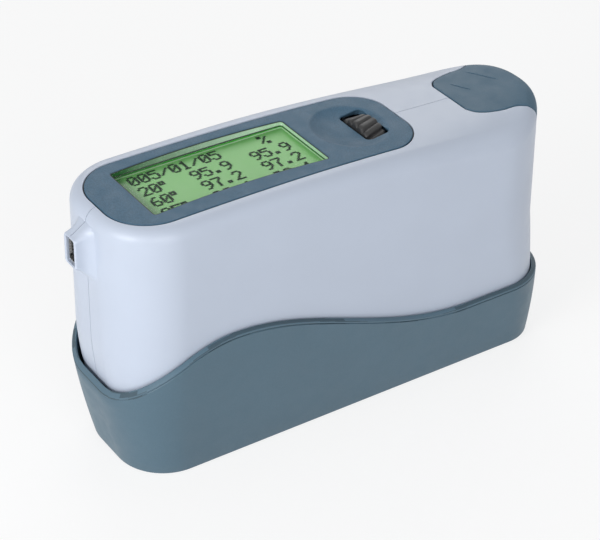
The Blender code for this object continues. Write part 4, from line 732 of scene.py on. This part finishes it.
def window_cutter():
    """The opening for the window, flared at the surface."""
    edge = 0.00022
    rings = [window_ring(0.0, 0.0100), window_ring(0.0, 0.0017)]
    rings += [window_ring(-edge * c, edge * s) for c, s in quarter(4)]
    return loft(rings + [window_ring(-1.6 * edge, -0.004)])


def slot_ring(grow, drop):
    """The slot's outline at a depth below the floor of the scoop."""
    outline = rounded_box(SLOT_X, 0.0, 0.0081 + 2 * grow, 0.0166 + 2 * grow, 0.0017 + grow, 8)
    return [Vector((x, y, crown_height(x, y) - scoop_depth(x, y) - drop)) for x, y in outline]


def slot_cutters():
    """The slot with its rounded upper edge, and the room under it that leaves a thin lip."""
    edge = 0.0003
    rings = [slot_ring(0.0, 0.0040), slot_ring(0.0, edge)]
    rings += [slot_ring(0.12 * edge, 0.5 * edge), slot_ring(0.45 * edge, 0.15 * edge), slot_ring(edge, 0.0)]
    rings.append([Vector((p.x, p.y, CROWN_TOP + 0.002)) for p in rings[-1]])
    return ring_solid(rings), ring_solid([slot_ring(0.0012, 0.0060), slot_ring(0.0012, 0.0007)])


panel = mesh_object("panel", panel_slab())
PANEL_GAP = 0.0004
edge_levels = plug_levels(lambda inset: panel_half(PANEL_GAP + inset), -0.0012, 0.0002)
keeper = crown_loft([(panel_half(0.0023), -0.010), (panel_half(0.0023), -0.00125), *edge_levels])
shape_with(panel, "INTERSECT", mesh_object("keeper", keeper))
tools = [window_cutter(), *slot_cutters()]
shape_with(panel, "DIFFERENCE", *[mesh_object(f"tool_{i}", bm) for i, bm in enumerate(tools)])
wear(face_weighted(panel), panel_skin, "meter", "slate_panel", "top_panel")

# %% [markdown]
# A dark gasket fills the gap round the panel below its edge. Without it one could look through the gap.

# %% Gasket
GASKET_OUT, GASKET_IN = 0.00003, PANEL_GAP - 0.00003
gasket_rows = []
for inset, rise in ((GASKET_OUT, -0.0012), (GASKET_OUT, -0.0005), (GASKET_IN, -0.0005), (GASKET_IN, -0.0012)):
    gasket_rows.append(over_crown(panel_half(inset), rise))
gasket = mesh_object("panel_gasket", ring_band(gasket_rows))
wear(gasket, moulded("gasket_rubber", (0.012, 0.018, 0.022), (0.6, 0.7), 0.3, 0.000010), "meter", "black_plastic")

# %% [markdown]
# ## Button
# The button is the housing's own rounded end in another colour. So it is made from the same body: the part of it
# inside the button's outline is kept, and its rim is rounded. Two thin lines are engraved in its top.

# %% Button
BUTTON_SKIN = 0.0017
LINES = (((0.0056, 0.0069), (0.0089, 0.0007)), ((0.0147, 0.0108), (0.0199, 0.0007)))


def engraved_line(ends):
    """A bar with a rounded underside that follows the crown."""
    first, last = (Vector((BUTTON_LEFT + x, y)) for x, y in ends)
    across = (last - first).orthogonal().normalized()
    sections = []
    for i in range(9):
        spot = first.lerp(last, i / 8)
        taper = math.sqrt(max(0.12, 1 - (2 * i / 8 - 1) ** 6))
        ring = []
        for k in range(9):
            a = math.pi * k / 8
            side = 0.00034 * math.cos(a) * taper
            low = -0.0003 * math.sin(a) * taper
            x, y = spot + side * across
            ring.append((x, y, crown_height(*spot) + low))
        for side in (-0.00034, 0.00034):
            x, y = spot + side * taper * across
            ring.append((x, y, crown_height(*spot) + 0.0006))
        sections.append(ring)
    return ring_solid(sections)


button_rings = [at_height(button_half(GAP), BUTTON_LOW)]
button_rings += [over_crown(*level) for level in plug_levels(lambda inset: button_half(GAP + inset), -0.0015)[1:]]
button = mesh_object("button", body_solid())
shape_with(button, "INTERSECT", mesh_object("keeper", loft(button_rings)))
hollow = mesh_object("hollow", body_solid(BUTTON_SKIN, 4, 3, 6, 8))
inner_rings = [at_height(button_half(GAP + BUTTON_SKIN, 3), z) for z in (0.0700, 0.0950)]
shape_with(hollow, "INTERSECT", mesh_object("keeper", loft(inner_rings)))
shape_with(button, "DIFFERENCE", hollow, *[mesh_object("line", engraved_line(ends)) for ends in LINES])
wear(face_weighted(button), button_skin, "button", "slate_button", "operate_button")

# %% [markdown]
# ## Jog wheel
# The wheel is a rubber roller. Only its crest shows in the slot, with broad rounded ribs that slant across it and
# narrow grooves between them. Each ring of the roller is a circle whose radius dips at every groove, and each ring
# is turned a little further than the one before, which slants the ribs.

# %% Wheel
WHEEL_RADIUS = 0.0108
WHEEL_RIBS = 22
WHEEL_HALF = 0.0037
RIB_DEPTH, RIB_SLANT = 0.0007, 0.30
wheel_low, wheel_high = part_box("jog_wheel")
wheel_axis = (wheel_low.z + wheel_high.z) / 2
print("wheel axis at", round(1000 * wheel_axis, 3), "mm")


def wheel_solid():
    """A roller with slanting ribs and rounded edges."""
    half = WHEEL_HALF
    sections = []
    profile = [(-half, 0.0011), (-half + 0.0002, 0.0005), (-half + 0.0006, 0.00015), (-half + 0.0012, 0.0)]
    profile += [(-half + 0.0012 + (2 * half - 0.0024) * i / 8, 0.0) for i in range(1, 8)]
    profile += [(-x, inset) for x, inset in reversed(profile[:4])]
    count = WHEEL_RIBS * 18
    for x, inset in profile:
        ring = []
        for i in range(count):
            a = 2 * math.pi * i / count
            wave = 0.5 + 0.5 * math.cos(WHEEL_RIBS * (a - RIB_SLANT * x / WHEEL_RADIUS))
            radius = WHEEL_RADIUS - inset - RIB_DEPTH * wave**4 - 0.00008 * wave
            ring.append((WHEEL_X + x, radius * math.sin(a), wheel_axis + radius * math.cos(a)))
        sections.append(ring)
    return ring_solid(sections)


rubber = moulded("wheel_rubber_skin", (0.020, 0.020, 0.021), (0.42, 0.60), 0.25, 0.000020, 0.08)
wear(mesh_object("wheel", wheel_solid()), rubber, "wheel", "wheel_rubber", "jog_wheel")

# %% [markdown]
# ## Display
# Behind the window lies a green liquid crystal display. Its dots are drawn as small raised tiles, a character
# being five dots wide and seven high, which is how such displays are made. The walls of the recess pick up the
# green of the ground, darker at the left where the light doesn't reach.

# %% Display ground and recess
lcd_low, lcd_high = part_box("lcd_cell")
FIELD_TOP = 0.0861


def green_ground():
    """Green ground, deeper along the left and far edges where the recess shades it."""
    made, tree, shader, place = blank_finish("green_ground")
    parts = tree.nodes.new("ShaderNodeSeparateXYZ")
    tree.links.new(place, parts.inputs[0])
    left = ramp(tree, parts.outputs["X"], -0.0602, -0.0566, 1.0, 0.0)
    far = ramp(tree, parts.outputs["Y"], 0.0085, 0.0115, 0.0, 0.30)
    base = tone(tree, larger(tree, left, far), (0.172, 0.505, 0.118), (0.006, 0.150, 0.008))
    tree.links.new(base, shader.inputs["Base Color"])
    tree.links.new(spread(tree, noise(tree, place, 0.2 * MM), 0.28, 0.36), shader.inputs["Roughness"])
    bump(tree, shader, noise(tree, place, 2.5 * MM), 0.000004)
    return made


def ground_slab():
    """The cell under the panel, with its field raised into the window's opening."""
    ends = (lcd_low.x, lcd_high.x)
    foot = near_half(ends, (lcd_high.y, lcd_high.y), (0.0006, 0.0006), 6, 24)
    levels = [(foot, z) for z in (lcd_low.z, lcd_high.z)]
    levels += [(window_half(0.0006), lcd_high.z + 0.00001), (window_half(0.0006), FIELD_TOP - 0.0009)]
    levels += [(window_half(0.00005), FIELD_TOP - 0.0008), (window_half(0.00005), FIELD_TOP)]
    return loft([at_height(half, z) for half, z in levels])


wear(mesh_object("display_ground", ground_slab()), green_ground(), "meter", "green_display", "lcd_cell")

# %% [markdown]
# The liner is the wall of the recess between the window and the display. From the top down it has a dark ring of
# painted shadow, standing in for the shadow under the panel's edge, an upper green layer, a dark joint and a lower
# green layer, and a pale edge runs round the display's field. Each is a thin frame, made by lofting an outer and an
# inner outline into a closed ring.

# %% Recess liner
def field_ring(inset, rise=0.00001):
    """The window's straight outline at a height over the display's field."""
    return [Vector((p.x, p.y, FIELD_TOP + rise)) for p in window_ring(inset, 0.01)]


def frame_ring(outer, inner, low, high):
    """A closed frame in the window's opening, between two insets and two drops. No low drop means the field."""
    corners = ((outer, low), (outer, high), (inner, high), (inner, low))
    return ring_band([field_ring(inset) if drop is None else window_ring(inset, drop) for inset, drop in corners])


def liner_finish(name, dark, light):
    """Green wall that grows paler to the right, where light falls in."""
    made, tree, shader, place = blank_finish(name)
    parts = tree.nodes.new("ShaderNodeSeparateXYZ")
    tree.links.new(place, parts.inputs[0])
    along = ramp(tree, parts.outputs["X"], -0.058, -0.012, 0.0, 1.0)
    tree.links.new(tone(tree, along, dark, light), shader.inputs["Base Color"])
    tree.links.new(spread(tree, noise(tree, place, 0.3 * MM), 0.20, 0.32), shader.inputs["Roughness"])
    bump(tree, shader, noise(tree, place, 1.5 * MM), 0.000008)
    return made


upper_green = liner_finish("liner_upper_green", (0.004, 0.100, 0.012), (0.52, 0.74, 0.54))
lower_green = liner_finish("liner_lower_green", (0.006, 0.150, 0.006), (0.050, 0.420, 0.030))
pale_green = liner_finish("field_edge_green", (0.45, 0.62, 0.40), (0.62, 0.80, 0.58))
# One dark finish serves both the joint and the ring of painted shadow under the panel's edge.
dark_joint_and_shade = moulded("liner_joint_and_painted_shadow", (0.003, 0.009, 0.005), (0.5, 0.6))
for name, finish, outer, inner, low, high in (
    # This first ring is painted shadow: a dark band where the gap under the panel's edge lies in shade.
    ("liner_painted_shadow", dark_joint_and_shade, 0.00002, 0.00027, 0.00036, 0.00017),
    ("liner_upper", upper_green, 0.00003, 0.00026, 0.00145, 0.00037),
    ("liner_joint", dark_joint_and_shade, 0.00003, 0.00030, 0.00180, 0.00147),
    ("liner_lower", lower_green, 0.00003, 0.00015, None, 0.00182),
):
    wear(mesh_object(name, frame_ring(outer, inner, low, high)), finish, "meter", "green_display")
EDGE = ((0.00018, 0.00001), (0.00018, 0.00006), (0.00060, 0.00006), (0.00060, 0.00001))
edge_rows = [field_ring(inset, rise) for inset, rise in EDGE]
wear(mesh_object("field_edge", ring_band(edge_rows)), pale_green, "meter", "green_display")

# %% [markdown]
# The readings are plain numbers in a dot font. Each letter is seven rows of five, written as ones and zeros, and
# neighbouring dots of a row become one tile, which keeps the mesh small.

# %% Characters
FONT = {
    "0": "01110 10001 10011 10101 11001 10001 01110",
    "1": "00100 01100 00100 00100 00100 00100 01110",
    "2": "01110 10001 00001 00010 00100 01000 11111",
    "5": "11111 10000 11110 00001 00001 10001 01110",
    "6": "00110 01000 10000 11110 10001 10001 01110",
    "7": "11111 00001 00010 00100 00100 00100 00100",
    "8": "01110 10001 10001 01110 10001 10001 01110",
    "9": "01110 10001 10001 01111 00001 00010 01100",
    "/": "00000 00001 00010 00100 01000 10000 00000",
    ".": "00000 00000 00000 00000 00000 01100 01100",
    "o": "11100 10100 11100 00000 00000 00000 00000",
    "%": "11000 11001 00010 00100 01000 10011 00011",
}
ROWS = ("005/01/05    %  ", "20o  95.9  95.9 ", "60o  97.2  97.2 ", "85o  99.1  99.1 ")
FIRST_X, FIRST_Y = -0.0576, 0.0118
STEP_X, STEP_Y = 0.00346, 0.00662
DOT_X, DOT_Y = 0.000577, 0.000725


def dots():
    """The dark dots, each run of neighbours in a row as one closed tile."""
    bm = bmesh.new()
    low, high = FIELD_TOP + 0.00001, FIELD_TOP + 0.00006
    spread_x = 0.00015
    for r, text in enumerate(ROWS):
        for c, letter in enumerate(text):
            for j, line in enumerate(FONT.get(letter, "").split()):
                top = FIRST_Y - STEP_Y * r - DOT_Y * j
                for run in re.finditer("1+", line):
                    x0 = FIRST_X + STEP_X * c + DOT_X * run.start() - spread_x
                    x1 = FIRST_X + STEP_X * c + DOT_X * run.end() + spread_x
                    corners = ((x0, top), (x1, top), (x1, top - 0.999 * DOT_Y), (x0, top - 0.999 * DOT_Y))
                    rows = skin(bm, [[(*p, z) for p in corners] for z in (low, high)])
                    bm.faces.new(rows[0])
                    bm.faces.new(rows[1])
    return bm


dot_ink = moulded("dot_ink", (0.002, 0.010, 0.004), (0.5, 0.6), shine=0.1)
wear(mesh_object("display_dots", dots()), dot_ink, "meter", "green_display")

# %% [markdown]
# The window is a clear pane, sunk a little below the panel. It is made see-through with alpha, because alpha
# survives the export to other programs, and its low roughness leaves a clean reflection.

# %% Window pane
def clear_pane():
    """Clear plastic with a faint green tint."""
    made, tree, shader, place = blank_finish("clear_pane")
    shader.inputs["Base Color"].default_value = (0.25, 0.50, 0.28, 1.0)
    shader.inputs["Alpha"].default_value = 0.04
    shader.inputs["Specular IOR Level"].default_value = 0.3
    shader.inputs["IOR"].default_value = 1.49
    tree.links.new(spread(tree, noise(tree, place, 0.1 * MM), 0.03, 0.07), shader.inputs["Roughness"])
    bump(tree, shader, noise(tree, place, 0.05 * MM), 0.00001)
    return made


PANE = ((0.0004, 0.0013), (0.0003, 0.0012), (0.0003, 0.0003), (0.0004, 0.0002))
pane_rings = [window_ring(inset, drop) for inset, drop in PANE]
wear(mesh_object("window_pane", loft(pane_rings)), clear_pane(), "meter", "clear_window", "display_window")

# %% [markdown]
# ## Holder
# The holder is a tub with a wavy rim. Its rings follow the same plan form, moved outwards by the play and the wall,
# and each ring's height is a share of the rim's height at that place. Just under the rim runs a thin groove with
# a bead over it, and the top of the wall slopes outwards. These faces get a darker colour, chosen face by face. It
# is painted shade, standing in for the shadow in the gap to the meter and in the groove.

# %% Holder
HOLDER_FIT = 0.0004
OUTER = HOLDER_FIT + 0.0016
RIM_CREST_X, RIM_CREST = -0.042, 0.0475
# Pairs of a drop below the rim and a distance in from the outer wall, or out from the inner wall.
GROOVE_AND_BEAD = (
    (0.00150, 0.00012), (0.00140, 0.00030), (0.00125, 0.00032), (0.00113, 0.00014), (0.00105, 0.00003),
    (0.00095, 0.0), (0.00072, 0.0), (0.00057, 0.00006), (0.00048, 0.00020),
)
RIM_TOP = ((0.00010, 0.00045), (0.0, 0.00028), (0.00004, 0.00012), (0.00020, 0.0))


def rim_height(x):
    """Height of the rim: a crest left of the middle, a long fall to the right and a short one left."""
    if x > RIM_CREST_X:
        fall = min(1.0, (x - RIM_CREST_X) / 0.083)
        return 0.0247 + 0.0228 * (1 + math.cos(math.pi * fall)) / 2
    fall = (RIM_CREST_X - x) / (LEFT_REACH + RIM_CREST_X)
    ease = (1 - math.cos(math.pi * 0.42 * fall)) / (1 - math.cos(math.pi * 0.42))
    return RIM_CREST - 0.0170 * ease


def holder_solid():
    """Floor, drafted outer wall, groove, bead, sloping rim top and inner wall."""
    def under(drop):
        return lambda spot: rim_height(spot.x) - drop

    def share(low, part, drop):
        return lambda spot: low + (rim_height(spot.x) - drop - low) * part

    edge = 0.0008
    levels = [(edge * c, OUTER - edge * s) for c, s in quarter(5)]
    levels += [(share(edge, i / 9, 0.0016), OUTER) for i in range(1, 10)]
    levels += [(under(drop), OUTER - inset) for drop, inset in GROOVE_AND_BEAD]
    levels += [(under(drop), HOLDER_FIT + out) for drop, out in RIM_TOP]
    levels += [(share(0.0036, 1 - i / 6, 0.0002), HOLDER_FIT) for i in range(1, 7)]
    levels += [(0.0027, HOLDER_FIT - 0.0003), (0.0024, HOLDER_FIT - 0.0012)]
    return loft([form_ring(height, grow, 0.0008, 20, 90) for height, grow in levels])


holder = wear(mesh_object("holder", holder_solid()), holder_skin, "holder", "slate_holder", "holder_shell")
# The second material is painted shade: a darker colour for the rim's sloping top and the groove, where the gap to the
# meter and the groove lie in shadow.
holder.data.materials.append(moulded("rim_painted_shade", (0.042, 0.078, 0.104), (0.50, 0.60), 0.5, 0.000010, 0.03))
FOOT_TOP = 0.005
for face in holder.data.polygons:
    under = rim_height(face.center.x) - face.center.z
    outwards = face.normal.x * face.center.x + face.normal.y * face.center.y > 0.0
    # Painted shade goes on the outer faces above the foot, on the rim's sloping top and in the groove.
    rim_top = 0.0 < under < 0.00050 and face.normal.z > 0.3
    groove = 0.00112 < under < 0.00150
    face.material_index = 1 if outwards and face.center.z > FOOT_TOP and (rim_top or groove) else 0

# %% [markdown]
# ## Carried-over pieces
# The other pieces keep their CAD shapes, because they are simple turned or flat things that mostly sit inside.
# Each still gets a finish of its own kind, chosen by the material slot that the record gives it.

# %% Metal, glass and board finishes
def metal(name, colour, gloss, brushed=0.0):
    """Metal with fine machining marks."""
    made, tree, shader, place = blank_finish(name)
    shader.inputs["Metallic"].default_value = 1.0
    stretch = node(tree, "ShaderNodeMapping")
    stretch.inputs["Scale"].default_value = (1.0, 1.0, 1.0 + brushed)
    tree.links.new(place, stretch.inputs["Vector"])
    marks = noise(tree, stretch.outputs["Vector"], 1.2 * MM, 3.0)
    dark = [0.92 * c for c in colour]
    tree.links.new(tone(tree, spread(tree, marks, 0.0, 1.0), dark, colour), shader.inputs["Base Color"])
    tree.links.new(spread(tree, marks, *gloss), shader.inputs["Roughness"])
    bump(tree, shader, marks, 0.000005)
    return made


def glass(name, colour, alpha):
    """Glass by alpha, with a clean gloss."""
    made, tree, shader, place = blank_finish(name)
    shader.inputs["Base Color"].default_value = (*colour, 1.0)
    shader.inputs["Alpha"].default_value = alpha
    tree.links.new(spread(tree, noise(tree, place, 0.4 * MM), 0.04, 0.064), shader.inputs["Roughness"])
    bump(tree, shader, noise(tree, place, 0.2 * MM), 0.000002)
    return made


finishes = {
    "pale_housing": pale_shell,
    "slate_panel": panel_skin,
    "slate_button": button_skin,
    "slate_holder": holder_skin,
    "clear_window": glass("window_glass", (0.9, 0.95, 0.92), 0.2),
    "green_display": green_ground(),
    "green_backlight": moulded("light_guide", (0.35, 0.75, 0.25), (0.3, 0.4)),
    "black_plastic": moulded("black_plastic_skin", (0.020, 0.022, 0.025), (0.40, 0.55), 0.3, 0.000015, 0.08),
    "wheel_rubber": rubber,
    "green_board": moulded("board_coat", (0.030, 0.160, 0.070), (0.25, 0.40), 0.8, 0.000010, 0.10),
    "bright_steel": metal("plated_steel", (0.60, 0.60, 0.60), (0.18, 0.32)),
    "spring_brass": metal("sprung_brass", (0.70, 0.55, 0.30), (0.20, 0.34)),
    "base_metal": metal("anodised_plate", (0.35, 0.37, 0.40), (0.32, 0.45), 3.0),
    "black_glass": glass("tile_glass", (0.005, 0.005, 0.006), 1.0),
    "lens_glass": glass("lens_glass_skin", (0.90, 0.95, 1.00), 0.35),
    "mirror_glass": metal("mirror_silver", (0.85, 0.87, 0.88), (0.03, 0.06)),
    "cell_wrap": moulded("cell_wrap_film", (0.080, 0.090, 0.100), (0.20, 0.30)),
    "chip_case": moulded("chip_resin", (0.020, 0.020, 0.020), (0.45, 0.60), 0.2, 0.000015),
    "lamp_holder": moulded("lamp_holder_skin", (0.200, 0.210, 0.220), (0.45, 0.55)),
    "sensor_holder": moulded("sensor_holder_skin", (0.050, 0.050, 0.060), (0.45, 0.55)),
}
for name, piece in nodes.items():
    for holder_slot in piece.material_slots:
        slot_name = holder_slot.material.name.split(".")[0]
        holder_slot.material = finishes[slot_name]
print(len(finishes), "finishes on", len(nodes), "pieces")

# %% [markdown]
# ## Floor, light and world
# The floor is plain and nearly white. Three large soft lamps and an even world light the meter at a plain level,
# so a colour looks about as it is written. The floor and the world are white only where the camera, a reflection
# or a pane looks at them.

# %% Floor
def white_rays(tree, path):
    """One for rays of the camera, of a reflection or through a pane, and otherwise zero."""
    value = path.outputs["Is Camera Ray"]
    for kind in ("Is Glossy Ray", "Is Transmission Ray"):
        value = larger(tree, value, path.outputs[kind])
    return value


def choose(tree, share, usual, shown, output):
    """Sends a blend of two shaders to the output."""
    blend = tree.nodes.new("ShaderNodeMixShader")
    for source, socket in zip((share, usual, shown), blend.inputs):
        tree.links.new(source, socket)
    tree.links.new(blend.outputs[0], tree.nodes[output].inputs["Surface"])


def floor_finish():
    """Matt white paper that glows a little for the rays that look at it."""
    made, tree, shader, place = blank_finish("floor_paper")
    base = tone(tree, noise(tree, place, 0.02 * MM), (0.90, 0.90, 0.90), (0.91, 0.91, 0.91))
    tree.links.new(base, shader.inputs["Base Color"])
    shader.inputs["Roughness"].default_value = 0.9
    shader.inputs["Specular IOR Level"].default_value = 0.1
    glow = node(tree, "ShaderNodeEmission", Color=(1.0, 1.0, 1.0, 1.0), Strength=1.06)
    path = tree.nodes.new("ShaderNodeLightPath")
    seen = tree.nodes.new("ShaderNodeMath")
    seen.operation = "MULTIPLY"
    seen.inputs[1].default_value = 0.72
    tree.links.new(white_rays(tree, path), seen.inputs[0])
    choose(tree, seen.outputs[0], shader.outputs[0], glow.outputs[0], "Material Output")
    return made


sheet = bmesh.new()
bmesh.ops.create_grid(sheet, x_segments=8, y_segments=8, size=3.0)
floor = mesh_object("floor", sheet)
floor.data.materials.append(floor_finish())
print("floor", [round(v, 1) for v in floor.dimensions])

# %% [markdown]
# The world gives a weak, slightly cool light from all sides. It fills the shadows.

# %% World
world = bpy.data.worlds.new("studio")
world.use_nodes = True
bpy.context.scene.world = world
tree = world.node_tree
light = tree.nodes["Background"]
light.inputs["Color"].default_value = (0.96, 0.98, 1.0, 1.0)
light.inputs["Strength"].default_value = 0.32
white = node(tree, "ShaderNodeBackground", Color=(1.0, 1.0, 1.0, 1.0), Strength=1.0)
path = tree.nodes.new("ShaderNodeLightPath")
choose(tree, white_rays(tree, path), light.outputs[0], white.outputs[0], "World Output")
print("world strength", round(light.inputs["Strength"].default_value, 2))

# %% [markdown]
# Three square lamps shape the body: one from the left for the end, one from the front for the long side, and one
# from behind for the top. Large lamps near the object give soft edges to the shadows.

# %% Lamps
def softbox(name, place, size, power):
    """A square lamp that faces the middle of the meter."""
    data = bpy.data.lights.new(name, "AREA")
    data.shape = "SQUARE"
    data.size = size
    data.energy = power
    lamp = bpy.data.objects.new(name, data)
    lamp.location = place
    lamp.rotation_mode = "QUATERNION"
    lamp.rotation_quaternion = (Vector(place) - Vector((0, 0, 0.045))).to_track_quat("Z", "Y")
    bpy.context.scene.collection.objects.link(lamp)
    print(name, "lamp,", size, "m wide,", power, "W")


softbox("key", (-0.76, -0.20, 0.36), 0.40, 3.7)
softbox("front", (-0.25, -0.95, 0.50), 0.60, 3.5)
softbox("behind", (0.50, 0.75, 0.66), 0.80, 3.0)

# %% [markdown]
# ## Colour management
# The Standard view transform shows colours as they are written.

# %% Finish
bpy.context.scene.view_settings.view_transform = "Standard"
